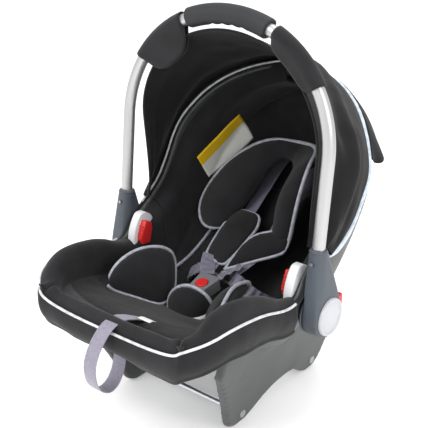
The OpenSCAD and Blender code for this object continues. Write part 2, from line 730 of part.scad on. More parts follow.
PAD_LEFT = [[34, 138, 262], [31, 98, 243], [27, 48, 222], [23, 10, 206]];
PAD_RIGHT = [[82, 66, 247], [60, 58, 239], [38, 42, 228], [20, 16, 212]];
pad_side = [-0.45, 0.8, 0.35];        // the turned pad's own width runs this way
pad_half_t = 9;
pad_lift = pad_half_t + web_t / 2 + gap;       // raises a pad's middle off its strap
module shoulder_pad(side) color("Black")
    mirrored(side)
        translate([0, hub_y, 0])
            sausage([for (p = fitted_line(side < 0 ? PAD_LEFT : PAD_RIGHT, 3)) p + [0, -0.45, 0.9] * pad_lift],
                [for (k = [0 : 9]) let (e = pow(sin(180 * clamp(k / 9, 0.06, 0.94)), 0.3))
                    [27 * e, pad_half_t * e]],
                side < 0 ? [1, 0, 0] : pad_side, 14);

hip_root = 127;       // height at which a hip strap leaves the seat, less the depth of the cover
module hip_strap(side) color("#6d6a7c")
    mirrored(side)
        translate([0, hub_y, 0])
            ribbon(smooth([fitted([92, 40, hip_root + insert_d0]), fitted([70, 10, 176]),
                [46, 0, 196], [34, -4, 204]], 5), web_w, web_t, [0.4, 1, 0.5]);

CROTCH = [[0, -62, 126], [0, -68, 146], [0, -73, 167], [0, -71, 181], [0, -56, 187]];
module crotch_strap() color("#6d6a7c")
    translate([0, hub_y, 0])
        ribbon(smooth(CROTCH, 4), web_w, web_t, [1, 0, 0]);

module crotch_pad() color("Black")
    translate([0, hub_y - 86, 182])
        rotate([-8, 0, 0])
            sausage([for (k = [0 : 8]) [0, 0, mix(-22, 28, k / 8)]],
                [for (k = [0 : 8]) let (e = pow(max(cos(mix(-78, 84, k / 8)), 0.08), 0.45)) [38 * e, 8 * e]],
                [1, 0, 0], 14);

// ---- Harness adjuster ----

yoke_s = 10.6;
module harness_yoke() color("Silver")
    translate(at(yoke_s, 0, -7))
        rotate([52, 0, 0])
            difference() {
                cube([96, 34, 3], center = true);
                for (x = [-slot_x + 6, slot_x - 6])
                    translate([x, 8, 0])
                        cube([web_w, 5, 10], center = true);
                translate([0, -9, 0])
                    cube([web_w + 2, 5, 10], center = true);
            }

module yoke_strap() color("#6d6a7c")
    ribbon([for (k = [0 : 30]) at(mix(10.25, 1.9, k / 30), 0, -4)], web_w, web_t, [1, 0, 0]);

adjuster_s = 1.75;
adjuster_size = [44, 34, 11];
adjuster_floor = 2;
adjuster_lean = -20;
module at_adjuster()
    translate(at(adjuster_s, 0, shell_wall + 1.5 + adjuster_size[2] / 2))
        rotate([adjuster_lean, 0, 0])
            children();

module adjuster_housing() color("Gray")
    at_adjuster()
        difference() {
            cube(adjuster_size, center = true);
            translate([0, 0, adjuster_floor])
                cube([adjuster_size[0] - 12, adjuster_size[1] + 10, adjuster_size[2]], center = true);
            adjuster_axle(adjuster_size[0] + 2, axle_r + fit);
        }

axle_r = 2;
axle_y = 12;
module adjuster_axle(length, r)
    translate([-length / 2, axle_y, 2.5])
        rotate([0, 90, 0])
            cylinder(h = length, r = r, $fn = small_fn);

module adjuster_lever() color("Silver")
    at_adjuster()
        union() {
            translate([-15.6, -16, 1.5])
                cube([31.2, 26, 2.5]);
            adjuster_axle(adjuster_size[0] - 1, axle_r);
            translate([-15.6, 8, 0.5])
                cube([31.2, 4, 3]);
        }

// Route of the webbing pull: out of its slot, over the lip, down in a loop and back.
PULL = [
    [4, -190, 199], [4, -204, 207], [5, -222, 217], [6, -244, 225], [6, -266, 222], [6, -284, 209],
    [6, -299, 190], [6, -306, 170], [6, -304, 146], [6, -294, 128], [6, -278, 119], [6, -263, 123],
    [6, -252, 136], [6, -246, 152], [6, -243, 166]
];
module adjuster_strap() color("#8a86a0")
    translate([0, hub_y, 0])
        ribbon(smooth(PULL, 3), web_w, web_t, [1, 0, 0]);

module pull_tag() color("White")
    translate([34, hub_y - 214, 208])
        rotate([-19, 0, 0])
            cube([24, 16, 1], center = true);

// Corners of the sewn label on the back cover: [station, angle across].
LABEL = [[10.05, -83], [12.7, -71], [10.0, -66], [11.85, -42]];
label_t = 0.8;
module care_label() {
    function corner(i, j) = mix(mix(LABEL[0], LABEL[1], i / 6), mix(LABEL[2], LABEL[3], i / 6), j / 6);
    low = [for (i = [0 : 6]) [for (j = [0 : 6]) at(corner(i, j)[0], corner(i, j)[1], insert_d0)]];
    top = [for (i = [0 : 6]) [for (j = [0 : 6]) at(corner(i, j)[0], corner(i, j)[1], insert_d0 + label_t)]];
    color("Gold")
        sheet(low, top);
}

seat_shell();
skid(-1);  // skid_left
skid(1);  // skid_right
cross_bar(bar_front_dy);  // cross_bar_front
cross_bar(bar_rear_dy);  // cross_bar_rear
bar_screws();
foam_liner();
seat_pad();
back_pad();
front_skirt();
rim_binding();
hub_housing(-1);  // hub_housing_left
hub_housing(1);  // hub_housing_right
pivot_pin(-1);  // pivot_pin_left
pivot_pin(1);  // pivot_pin_right
lever_bezel(-1);  // lever_bezel_left
lever_bezel(1);  // lever_bezel_right
release_lever(-1);  // release_lever_left
release_lever(1);  // release_lever_right
lock_button(-1);  // lock_button_left
lock_button(1);  // lock_button_right
handle_tube();
handle_grip();
handle_leg(-1);  // handle_leg_left
handle_leg(1);  // handle_leg_right
hub_cap(-1);  // hub_cap_left
hub_cap(1);  // hub_cap_right
leg_rivets();
canopy_tab(-1);  // canopy_tab_left
canopy_tab(1);  // canopy_tab_right
canopy();
canopy_tail();
head_hugger();
body_insert();
hip_bolster(-1);  // hip_bolster_left
hip_bolster(1);  // hip_bolster_right
shoulder_strap(-1);  // shoulder_strap_left
shoulder_strap(1);  // shoulder_strap_right
shoulder_pad(-1);  // shoulder_pad_left
shoulder_pad(1);  // shoulder_pad_right
hip_strap(-1);  // hip_strap_left
hip_strap(1);  // hip_strap_right
tongue(-1);  // tongue_left
tongue(1);  // tongue_right
crotch_strap();
crotch_pad();
buckle_body();
buckle_button();
buckle_spring();
harness_yoke();
yoke_strap();
adjuster_housing();
adjuster_lever();
adjuster_strap();
care_label();
pull_tag();
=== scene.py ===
# Infant car seat: a padded bucket on two skids, with an arched carrying handle and a hood.
import json
import math

import bmesh
import bpy
import numpy as np
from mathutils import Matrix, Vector, noise
from mathutils.bvhtree import BVHTree


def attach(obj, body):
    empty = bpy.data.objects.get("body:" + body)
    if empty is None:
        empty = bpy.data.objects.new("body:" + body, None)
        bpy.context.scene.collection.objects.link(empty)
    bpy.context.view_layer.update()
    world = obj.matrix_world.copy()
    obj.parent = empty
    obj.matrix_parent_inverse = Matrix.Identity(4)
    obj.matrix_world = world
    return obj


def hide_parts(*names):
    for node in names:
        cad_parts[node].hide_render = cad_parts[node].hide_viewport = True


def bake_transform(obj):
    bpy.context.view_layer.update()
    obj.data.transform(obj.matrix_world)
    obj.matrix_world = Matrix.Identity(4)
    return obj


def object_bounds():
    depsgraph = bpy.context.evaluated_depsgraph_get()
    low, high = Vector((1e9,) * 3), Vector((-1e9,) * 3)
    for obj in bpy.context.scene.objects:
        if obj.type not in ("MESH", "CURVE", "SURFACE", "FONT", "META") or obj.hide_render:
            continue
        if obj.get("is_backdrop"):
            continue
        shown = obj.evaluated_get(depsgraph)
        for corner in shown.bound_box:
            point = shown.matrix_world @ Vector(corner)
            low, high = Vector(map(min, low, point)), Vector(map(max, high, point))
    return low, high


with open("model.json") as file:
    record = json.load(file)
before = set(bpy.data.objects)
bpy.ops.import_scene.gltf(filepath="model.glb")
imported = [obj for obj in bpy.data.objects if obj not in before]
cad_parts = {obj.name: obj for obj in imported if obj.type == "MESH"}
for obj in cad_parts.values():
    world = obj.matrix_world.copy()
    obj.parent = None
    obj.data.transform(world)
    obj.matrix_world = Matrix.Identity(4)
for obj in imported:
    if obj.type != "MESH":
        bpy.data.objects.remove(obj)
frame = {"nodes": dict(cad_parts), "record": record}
cad_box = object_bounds()
scene = bpy.context.scene

# ---- Camera, floor and light ----
# A long lens looks down on the seat's front left corner, over a plain white sweep.
# Two large soft boxes and a bright surround leave only faint shadows.
camera = bpy.data.objects.new("camera", bpy.data.cameras.new("camera"))
scene.collection.objects.link(camera)
camera.data.lens = 72.36
camera.data.sensor_width = 36
camera.data.clip_end = 20
camera.location = (0.8107, -1.0408, 0.8629)
azimuth, elevation = math.radians(38.76), math.radians(22.98)
sight = Vector((-math.sin(azimuth) * math.cos(elevation),
                math.cos(azimuth) * math.cos(elevation), -math.sin(elevation)))
camera.rotation_euler = sight.to_track_quat("-Z", "Y").to_euler()
scene.camera = camera
scene.view_settings.view_transform = "Standard"


def shader(name, color, roughness, **sockets):
    """A material whose Principled shader has these values, with its node tree for what is added."""
    mat = bpy.data.materials.new(name)
    mat.use_nodes = True
    bsdf = mat.node_tree.nodes["Principled BSDF"]
    bsdf.inputs["Base Color"].default_value = (*color, 1)
    bsdf.inputs["Roughness"].default_value = roughness
    for socket, value in sockets.items():
        bsdf.inputs[socket.replace("_", " ")].default_value = value
    mat.diffuse_color = (*color, 1)
    return mat


def put(name, mesh, mat, smooth=True):
    """A new object with that mesh and material."""
    obj = bpy.data.objects.new(name, mesh)
    scene.collection.objects.link(obj)
    mesh.materials.clear()
    mesh.materials.append(mat)
    if smooth:
        mesh.shade_smooth()
    return obj


def mesh_of(name, points, faces):
    """A mesh with outward normals."""
    mesh = bpy.data.meshes.new(name)
    mesh.from_pydata([tuple(p) for p in points], [], faces)
    work = bmesh.new()
    work.from_mesh(mesh)
    bmesh.ops.recalc_face_normals(work, faces=work.faces)
    work.to_mesh(mesh)
    work.free()
    return mesh


floor = put("floor", mesh_of("floor", [(-6, -6, 0), (6, -6, 0), (6, 6, 0), (-6, 6, 0)], [(0, 1, 2, 3)]),
            shader("floor_white", (0.93, 0.93, 0.925), 0.6, Emission_Color=(1, 1, 1, 1), Emission_Strength=0.2))
floor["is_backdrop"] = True

world = scene.world or bpy.data.worlds.new("world")
scene.world = world
world.use_nodes = True
world.node_tree.nodes["Background"].inputs["Color"].default_value = (1, 1, 1, 1)
world.node_tree.nodes["Background"].inputs["Strength"].default_value = 0.98
for name, place, size, power in (("key", (-0.6, -2.0, 2.2), 1.6, 42), ("fill", (2.4, -0.6, 1.6), 1.6, 26),
                                 ("top", (0.2, 0.9, 2.8), 2.0, 26)):
    light = bpy.data.objects.new(name, bpy.data.lights.new(name, "AREA"))
    light.data.size = size
    light.data.energy = power
    light.location = place
    light.rotation_euler = (Vector((0, 0, 0.25)) - Vector(place)).to_track_quat("-Z", "Y").to_euler()
    scene.collection.objects.link(light)

# ---- Pull strap ----
# Lavender-grey polyester webbing, 25 mm wide, that tightens the harness. It comes out of its
# slot in the seat cover, loops down over the front lip and goes back up under the lip.
HUB_Y = -0.0204
HUB_Z = 0.196
WEB_W = 0.025
WEB_T = 0.002


def spline(a, b, c, d, t):
    return 0.5 * (2 * b + (c - a) * t + (2 * a - 5 * b + 4 * c - d) * t ** 2
                  + (3 * b - a - 3 * c + d) * t ** 3)


def on_path(points, s):
    """The rows of points at places s along them, on a smooth curve."""
    points = np.asarray(points, float)
    last = len(points) - 1
    s = np.clip(np.asarray(s, float), 0, last)
    i = np.minimum(s.astype(int), last - 1)
    t = (s - i)[..., None]
    return spline(points[np.maximum(i - 1, 0)], points[i], points[i + 1], points[np.minimum(i + 2, last)], t)


def smooth(points, steps):
    return on_path(points, np.linspace(0, len(points) - 1, (len(points) - 1) * steps + 1))


def unit(v):
    v = np.asarray(v, float)
    return v / np.maximum(np.linalg.norm(v, axis=-1, keepdims=True), 1e-12)


def grid_faces(rows, cols, around=False):
    """Quads of a grid of rows by cols points, whose columns may close on themselves."""
    ends = cols if around else cols - 1
    return [(i * cols + j, i * cols + (j + 1) % cols, (i + 1) * cols + (j + 1) % cols, (i + 1) * cols + j)
            for i in range(rows - 1) for j in range(ends)]


def tube_faces(rows, cols):
    """Quads round a tube of rows by cols points, and its two ends."""
    return grid_faces(rows, cols, True) + [tuple(range(cols)), tuple(range((rows - 1) * cols, rows * cols))]


def along(path):
    """Unit directions along a path."""
    path = np.asarray(path, float)
    return unit(np.gradient(path, axis=0))


def length_of(path):
    return float(np.sum(np.linalg.norm(np.diff(path, axis=0), axis=1)))


def webbing(name, path, wide, width, thick, mat, puckers=0.0, pitch=0.012):
    """Flat webbing along path with a soft edge; wide is crosswise to it, one or one for each point."""
    path = np.asarray(path, float)
    run = along(path)
    wide = np.broadcast_to(np.asarray(wide, float), path.shape)
    wide = unit(wide - run * np.sum(run * wide, axis=1, keepdims=True))
    face = np.cross(run, wide)
    turn = np.linspace(0, 2 * np.pi, 16, endpoint=False)
    across = np.sign(np.cos(turn)) * np.abs(np.cos(turn)) ** 0.25 * width / 2
    through = np.sign(np.sin(turn)) * np.abs(np.sin(turn)) ** 0.6 * thick / 2
    length = np.concatenate([[0], np.cumsum(np.linalg.norm(np.diff(path, axis=0), axis=1))])
    wave = puckers * np.sin(length * 2 * np.pi / pitch)[:, None] * np.cos(across / width * 2.4)[None, :]
    points = (path[:, None] + wide[:, None] * across[None, :, None]
              + face[:, None] * (through[None, :] + wave)[..., None])
    rows, cols = len(path), len(turn)
    mesh = mesh_of(name, points.reshape(-1, 3), tube_faces(rows, cols))
    uv = mesh.uv_layers.new(name="UVMap")
    for loop in mesh.loops:
        i, j = divmod(loop.vertex_index, cols)
        uv.data[loop.index].uv = (across[j], length[i])
    return put(name, mesh, mat)


def link(mat, a, b):
    mat.node_tree.links.new(a, b)


def principled(mat):
    return mat.node_tree.nodes["Principled BSDF"]


def node(mat, kind, **values):
    """A shader node with its settings and, for names in capitals, its sockets."""
    made = mat.node_tree.nodes.new(kind)
    for key, value in values.items():
        if key[0].isupper():
            made.inputs[key.replace("_", " ")].default_value = value
        else:
            setattr(made, key, value)
    return made


def in_object_space(mat, *textures):
    """Lays textures out in the object's own space."""
    place = node(mat, "ShaderNodeTexCoord")
    for tex in textures:
        link(mat, place.outputs["Object"], tex.inputs["Vector"])


def bump(mat, height, distance, strength=1.0, below=None):
    """Adds a bump from a height output to a material; below is a bump node that it lies on."""
    made = node(mat, "ShaderNodeBump", Strength=strength, Distance=distance)
    link(mat, height, made.inputs["Height"])
    if below:
        link(mat, below.outputs["Normal"], made.inputs["Normal"])
    link(mat, made.outputs["Normal"], principled(mat).inputs["Normal"])
    return made


def tint(mat, factor, colors, places=(0.3, 0.7)):
    """Colours the shader by a ramp over factor."""
    ramp = node(mat, "ShaderNodeValToRGB")
    for stop, color, place in zip(ramp.color_ramp.elements, colors, places):
        stop.color = (*color, 1)
        stop.position = place
    link(mat, factor, ramp.inputs["Fac"])
    link(mat, ramp.outputs["Color"], principled(mat).inputs["Base Color"])


def web_material(name, dark, light):
    """Ribbed polyester webbing: fine ribs along it and the sheen of filament yarn."""
    mat = shader(name, light, 0.42, Sheen_Weight=0.4, Sheen_Roughness=0.4)
    uv = node(mat, "ShaderNodeUVMap", uv_map="UVMap")
    ribs = node(mat, "ShaderNodeTexWave", wave_type="BANDS", bands_direction="X", Scale=180)
    picks = node(mat, "ShaderNodeTexWave", wave_type="BANDS", bands_direction="Y", Scale=420, Distortion=1.5)
    mottle = node(mat, "ShaderNodeTexNoise", Scale=220, Detail=3)
    for tex in (ribs, picks, mottle):
        link(mat, uv.outputs["UV"], tex.inputs["Vector"])
    tint(mat, mottle.outputs["Fac"], (dark, light))
    first = bump(mat, ribs.outputs["Fac"], 0.0004, 0.6)
    bump(mat, picks.outputs["Fac"], 0.0002, 0.5, first)
    return mat


pull_web = web_material("pull_webbing", (0.20, 0.185, 0.24), (0.27, 0.25, 0.32))
PULL = [
    (4, -190, 199), (4, -204, 207), (5, -222, 217), (6, -244, 225), (6, -266, 222), (6, -284, 209),
    (6, -299, 190), (6, -306, 170), (6, -304, 146), (6, -294, 128), (6, -278, 119), (6, -263, 123),
    (6, -252, 136), (6, -246, 152), (6, -243, 166),
]
pull_path = smooth(np.array(PULL) / 1000 + (0, HUB_Y, 0), 6)
pull_strap = webbing("pull_strap", pull_path, (1, 0, 0), WEB_W, WEB_T, pull_web)
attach(pull_strap, "seat")
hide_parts("adjuster_strap")

# ---- Bucket shell and skids ----
# One injection moulding in grey polypropylene: a 3 mm bucket with two skids that lean out
# under it. Its surface is a grid of stations from the front lip to the head end.
SHELL_HALF_W = 0.187
FRONT_LEN = 0.261
BACK_LEN = 0.279
CORNER = 0.67
# Rim Y share, rim height, half-width share, floor Y share and floor height at each station.
STATIONS = np.array([
    (-1.00, 0.229, 0.76, -1.00, 0.194), (-0.90, 0.242, 0.90, -0.87, 0.180),
    (-0.73, 0.251, 0.97, -0.67, 0.160), (-0.50, 0.245, 0.99, -0.44, 0.137),
    (-0.29, 0.229, 0.99, -0.24, 0.114), (-0.15, 0.232, 0.99, -0.11, 0.106),
    (-0.04, 0.262, 0.98, 0.02, 0.103), (0.09, 0.288, 0.98, 0.16, 0.107),
    (0.21, 0.315, 0.98, 0.32, 0.124), (0.30, 0.352, 0.98, 0.52, 0.160),
    (0.35, 0.382, 0.97, 0.76, 0.217), (0.40, 0.410, 0.94, 0.98, 0.290),
    (0.44, 0.438, 0.85, 1.05, 0.355), (0.49, 0.470, 0.70, 1.07, 0.412),
    (0.56, 0.496, 0.52, 1.055, 0.455), (0.66, 0.512, 0.34, 1.00, 0.488),
    (0.77, 0.521, 0.14, 0.90, 0.510),
])
S_END = len(STATIONS) - 1


def along_y(share):
    return HUB_Y + share * np.where(share < 0, FRONT_LEN, BACK_LEN)


def skin(s, a):
    """Points of the bucket's outer surface at stations s and angles a across it, in degrees."""
    s, a = np.broadcast_arrays(np.asarray(s, float), np.asarray(a, float))
    st = on_path(STATIONS, s)
    sin, cos = np.sin(np.radians(a)), np.maximum(np.cos(np.radians(a)), 0)
    f = cos ** CORNER
    x = np.sign(a) * np.abs(sin) ** CORNER * st[..., 2] * SHELL_HALF_W
    y = along_y(st[..., 0]) * (1 - f) + along_y(st[..., 3]) * f
    z = st[..., 1] * (1 - f) + st[..., 4] * f
    return np.stack([x, y, z], axis=-1)


def at(s, a, d):
    """Points a distance d inside the outer surface; d below 0 lies outside the bucket."""
    s, a, d = np.broadcast_arrays(np.asarray(s, float), np.asarray(a, float), np.asarray(d, float))
    across = skin(s, np.clip(a + 3, -90, 90)) - skin(s, np.clip(a - 3, -90, 90))
    length = skin(np.clip(s + 0.15, 0, S_END), a) - skin(np.clip(s - 0.15, 0, S_END), a)
    return skin(s, a) + unit(np.cross(across, length)) * d[..., None]


def slab(name, low, top, mat, smooth_shading=True):
    """Closed sheet between two grids of points with the same layout."""
    rows, cols = low.shape[:2]
    n = rows * cols
    faces = grid_faces(rows, cols)
    faces = faces + [tuple(k + n for k in face) for face in faces]
    for i in range(rows - 1):
        for j in (0, cols - 1):
            a, b = i * cols + j, (i + 1) * cols + j
            faces.append((a, b, b + n, a + n))
    for j in range(cols - 1):
        for i in (0, rows - 1):
            a, b = i * cols + j, i * cols + j + 1
            faces.append((a, b, b + n, a + n))
    points = np.concatenate([low.reshape(-1, 3), top.reshape(-1, 3)])
    return put(name, mesh_of(name, points, faces), mat, smooth_shading)


def baked(obj, smooth_shading=True):
    """Applies an object's modifiers to its mesh; without smooth shading its sharp edges are kept."""
    bpy.context.view_layer.update()
    done = bpy.data.meshes.new_from_object(obj.evaluated_get(bpy.context.evaluated_depsgraph_get()))
    obj.modifiers.clear()
    obj.data = done
    if smooth_shading:
        obj.data.shade_smooth()
    return obj


def remeshed(obj, voxel):
    """Adds a remesh of a solid into even quads."""
    remesh = obj.modifiers.new("remesh", "REMESH")
    remesh.mode = "VOXEL"
    remesh.voxel_size = voxel


def melt(obj, voxel, rounds):
    """Remeshes a solid into even quads and rounds its edges off."""
    remeshed(obj, voxel)
    relax = obj.modifiers.new("relax", "SMOOTH")
    relax.iterations = rounds
    relax.factor = 0.5
    return baked(obj)


def plastic(name, color, roughness, grain=900, depth=0.00008):
    """Moulded plastic with a spark-eroded grain and slight wear in its gloss."""
    mat = shader(name, color, roughness)
    grains = node(mat, "ShaderNodeTexNoise", Scale=grain, Detail=3)
    scuffs = node(mat, "ShaderNodeTexNoise", Scale=14, Detail=5)
    in_object_space(mat, grains, scuffs)
    shade = tuple(c * 0.82 for c in color)
    tint(mat, scuffs.outputs["Fac"], (shade, color), (0.3, 0.62))
    spread = node(mat, "ShaderNodeMapRange", From_Min=0.3, From_Max=0.7, To_Min=roughness - 0.06,
                  To_Max=roughness + 0.08)
    link(mat, scuffs.outputs["Fac"], spread.inputs["Value"])
    link(mat, spread.outputs["Result"], principled(mat).inputs["Roughness"])
    bump(mat, grains.outputs["Fac"], depth)
    return mat


SKID_FOOT_X = 0.116
SKID_T = 0.016
SKID_LEAN = math.tan(math.radians(15))
# Free edge of a skid seen from the side: Y from the hub, and height.
SKID_EDGE = np.array([
    (-188, 148), (-167, 108), (-142, 58), (-128, 25), (-119, 7), (-104, 0), (-70, 0), (-58, 6),
    (-24, 26), (0, 33), (28, 36), (58, 30), (92, 6), (104, 0), (130, 0), (141, 6), (148, 25),
    (152, 60), (146, 100), (125, 128),
]) / 1000
SKID_S = (2.0, 8.0)
ROOT_SINK = 0.004


def meet(s, foot_x):
    """Angle across the bucket where its surface meets the plane of a skid."""
    low, high = 10.0, 88.0
    for _ in range(24):
        middle = (low + high) / 2
        p = skin(s, middle)
        if p[0] > foot_x + p[2] * SKID_LEAN:
            high = middle
        else:
            low = middle
    return (low + high) / 2


def skid_face(foot_x, side):
    """One face of a skid, from its free edge up into the bucket."""
    rows = []
    for i, (dy, z) in enumerate(SKID_EDGE):
        s = SKID_S[0] + (SKID_S[1] - SKID_S[0]) * i / (len(SKID_EDGE) - 1)
        root = at(s, meet(s, foot_x), ROOT_SINK)
        edge = np.array([foot_x + z * SKID_LEAN, HUB_Y + dy, z])
        rows.append([edge + (root - edge) * t for t in np.linspace(0, 1, 9)])
    return np.array(rows) * (side, 1, 1)


shell_grey = plastic("shell_grey", (0.050, 0.053, 0.053), 0.42)
s_grid, a_grid = np.meshgrid(np.linspace(0, S_END, 97), np.linspace(-90, 90, 61), indexing="ij")
shell = slab("bucket_shell", at(s_grid, a_grid, 0), at(s_grid, a_grid, 0.008), shell_grey)
work = bmesh.new()
work.from_mesh(shell.data)
for side in (-1, 1):
    skid = slab("skid", skid_face(SKID_FOOT_X, side), skid_face(SKID_FOOT_X - SKID_T, side), shell_grey)
    work.from_mesh(skid.data)
    bpy.data.objects.remove(skid)
work.to_mesh(shell.data)
work.free()
melt(shell, 0.0034, 12)
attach(shell, "seat")
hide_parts("seat_shell", "skid_left", "skid_right")

# ---- Steel under the seat ----
# Two bright 10 mm bars tie the skids together, and each end takes a flat-headed screw.
# The pins, rivets, tongues, yoke and buckle spring are of duller steel.
def from_cad(name, mat, bevel=0.0, angle=30, segments=2):
    """A copy of a CAD piece as clean faces with softened edges, standing for the CAD piece."""
    work = bmesh.new()
    work.from_mesh(frame["nodes"][name].data)
    bmesh.ops.remove_doubles(work, verts=work.verts, dist=0.00002)
    bmesh.ops.dissolve_limit(work, angle_limit=math.radians(1), verts=work.verts, edges=work.edges)
    mesh = bpy.data.meshes.new(name + "_made")
    work.to_mesh(mesh)
    work.free()
    obj = put(name + "_made", mesh, mat)
    if bevel:
        edge = obj.modifiers.new("bevel", "BEVEL")
        edge.width = bevel
        edge.segments = segments
        edge.limit_method = "ANGLE"
        edge.angle_limit = math.radians(angle)
        edge.use_clamp_overlap = True
    baked(obj)
    sharp = obj.modifiers.new("normals", "WEIGHTED_NORMAL")
    sharp.keep_sharp = True
    obj.data.set_sharp_from_angle(angle=math.radians(40))
    baked(obj, False)
    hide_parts(name)
    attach(obj, body_of[name])
    return obj


body_of = {node_name: body for body, names in frame["record"]["behaviour"]["bodies"].items()
           for node_name in names}


def metal(name, color, roughness, scale=(40, 40, 900)):
    """Brushed metal whose hairlines run across the long direction of scale."""
    mat = shader(name, color, roughness, Metallic=1.0)
    turn = node(mat, "ShaderNodeMapping", Scale=scale)
    lines = node(mat, "ShaderNodeTexNoise", Scale=1.0, Detail=3)
    in_object_space(mat, turn)
    link(mat, turn.outputs["Vector"], lines.inputs["Vector"])
    spread = node(mat, "ShaderNodeMapRange", To_Min=roughness - 0.07, To_Max=roughness + 0.1)
    link(mat, lines.outputs["Fac"], spread.inputs["Value"])
    link(mat, spread.outputs["Result"], principled(mat).inputs["Roughness"])
    bump(mat, lines.outputs["Fac"], 0.00003)
    return mat


bar_steel = metal("bar_steel", (0.72, 0.74, 0.77), 0.22, (900, 60, 60))
dull_steel = metal("dull_steel", (0.4, 0.4, 0.41), 0.38)
for name in ("cross_bar_front", "cross_bar_rear"):
    from_cad(name, bar_steel, 0.0008)
for name in ("bar_screws", "pivot_pin_left", "pivot_pin_right", "leg_rivets", "buckle_spring", "harness_yoke",
             "tongue_left", "tongue_right"):
    from_cad(name, dull_steel, 0.0004)

# ---- Foam liner ----
# White bead foam between the shell and the cover.
# Only slivers of it show through the slots.
foam_white = plastic("foam_white", (0.75, 0.75, 0.74), 0.8, 260, 0.0004)
from_cad("foam_liner", foam_white)

# ---- Seat cover ----
# Black knitted polyester over wadding, sewn from a seat panel, two plump side wings and a
# back panel with a ring seam. It rolls over the shell's rim and ends at the white piping.
COVER_D = 0.027
COVER_THICK = 0.006
ROLL_FROM = 84
PAD_SPLIT = 7.2
LIP_RISE = 0.018
MOTTLE = 0.3
GROOVE_DEPTH = 0.0018
GROOVE_W = 0.0035
SEAM_REACH = 0.022


def fabric(name, color, weave=1500, sheen=0.12, depth=0.00025):
    """Black knit: fine courses and wales with a soft mottle and a faint nap."""
    mat = shader(name, color, 0.88, Sheen_Weight=sheen, Sheen_Roughness=0.5, Specular_IOR_Level=0.25)
    wales = node(mat, "ShaderNodeTexWave", wave_type="BANDS", bands_direction="X", Scale=weave / 6, Distortion=2.0,
                 Detail=1)
    courses = node(mat, "ShaderNodeTexWave", wave_type="BANDS", bands_direction="Z", Scale=weave / 6, Distortion=2.0,
                   Detail=1)
    fuzz = node(mat, "ShaderNodeTexNoise", Scale=weave / 2, Detail=3)
    shade = node(mat, "ShaderNodeTexNoise", Scale=24, Detail=4)
    in_object_space(mat, wales, courses, fuzz, shade)
    dark = tuple(c * (1 - MOTTLE) for c in color)
    light = tuple(c * (1 + MOTTLE) for c in color)
    tint(mat, shade.outputs["Fac"], (dark, light), (0.32, 0.68))
    first = bump(mat, wales.outputs["Fac"], depth, 0.5)
    second = bump(mat, courses.outputs["Fac"], depth, 0.5, first)
    bump(mat, fuzz.outputs["Fac"], depth, 0.6, second)
    return mat


cover_black = fabric("cover_black", (0.012, 0.012, 0.0135))
pad_black = fabric("pad_black", (0.009, 0.009, 0.0105), 1900)
hood_black = fabric("hood_black", (0.0075, 0.0075, 0.0085), 2600, 0.08, 0.00015)


def noise3(points, scale, seed):
    """Smooth noise between -1 and 1 at each point."""
    shift = Vector((seed * 7.31, seed * 3.17, seed * 1.73))
    flat = points.reshape(-1, 3)
    return np.array([noise.noise(Vector(p) * scale + shift) for p in flat]).reshape(points.shape[:-1])


def nearest(points, line):
    """Distance from each point to a dense line of points."""
    flat = points.reshape(-1, 3)
    best = np.full(len(flat), 1e9)
    for chunk in range(0, len(line), 64):
        gap = np.linalg.norm(flat[:, None] - line[None, chunk:chunk + 64], axis=2).min(axis=1)
        best = np.minimum(best, gap)
    return best.reshape(points.shape[:-1])


def grid_normals(points):
    """Unit normals of a grid of points."""
    return unit(np.cross(np.gradient(points, axis=1), np.gradient(points, axis=0)))


def roll_height(s):
    """How far the padding stands above the rim at each station."""
    return np.interp(s, (0, 0.6, 1.4, 3.6, 4.6, 5.4, 6.6, 7.6, 13, 16),
                     (0.012, 0.020, 0.027, 0.026, 0.016, 0.004, 0.006, 0.010, 0.010, 0.006))


def cover_grid(s_values, front):
    """Face of the cover over the given stations; with a front it rolls over the front lip too."""
    roll = np.linspace(0, 1, 10)
    a_inner = np.linspace(-ROLL_FROM, ROLL_FROM, 85)
    a_all = np.concatenate([-(ROLL_FROM + (90 - ROLL_FROM) * roll[:0:-1]), a_inner,
                            ROLL_FROM + (90 - ROLL_FROM) * roll[1:]])
    k_all = np.concatenate([roll[:0:-1], np.zeros(len(a_inner)), roll[1:]])
    lip = np.linspace(1, 0, 8)[:-1] if front else np.zeros(0)
    s_all = np.concatenate([0.25 * (1 - lip), s_values])
    m_all = np.concatenate([lip, np.zeros(len(s_values))])
    s, a = np.meshgrid(s_all, a_all, indexing="ij")
    m, k = np.meshgrid(m_all, k_all, indexing="ij")
    depth = (COVER_D + 0.003) * (1 - np.maximum(m, k) ** 1.3) - 0.003
    points = at(s, a, depth)
    crest = 1 + 0.4 * (a > 0) * np.exp(-((s - 2.4) / 1.1) ** 2)
    rise = roll_height(s) * crest * np.sin(np.pi * np.clip(k, 0, 1) ** 0.8) ** 0.8
    rise += LIP_RISE * m * np.sqrt(np.maximum(np.cos(np.radians(a)), 0)) + 0.010 * np.sin(np.pi * m) * (1 - k)
    points[..., 2] += rise
    corners = np.exp(-((s - 0.3) / 0.55) ** 2 - ((np.abs(a) - 84) / 9) ** 2) if front else 0 * s
    for _ in range(40):
        mean = (points[:-2, 1:-1] + points[2:, 1:-1] + points[1:-1, :-2] + points[1:-1, 2:]) / 4
        points[1:-1, 1:-1] += (mean - points[1:-1, 1:-1]) * corners[1:-1, 1:-1, None]
    return points, k, m


def sewn(points, seams, puff, reach, fixed):
    """Puffs a grid up between its seams and pulls it in along them."""
    normal = grid_normals(points)
    far = np.full(points.shape[:-1], 1e9)
    for seam in seams:
        far = np.minimum(far, nearest(points, seam))
    swell = puff * (1 - np.exp(-(far / reach) ** 1.2)) - GROOVE_DEPTH * np.exp(-(far / GROOVE_W) ** 2)
    return points + normal * (swell * (1 - fixed))[..., None], normal


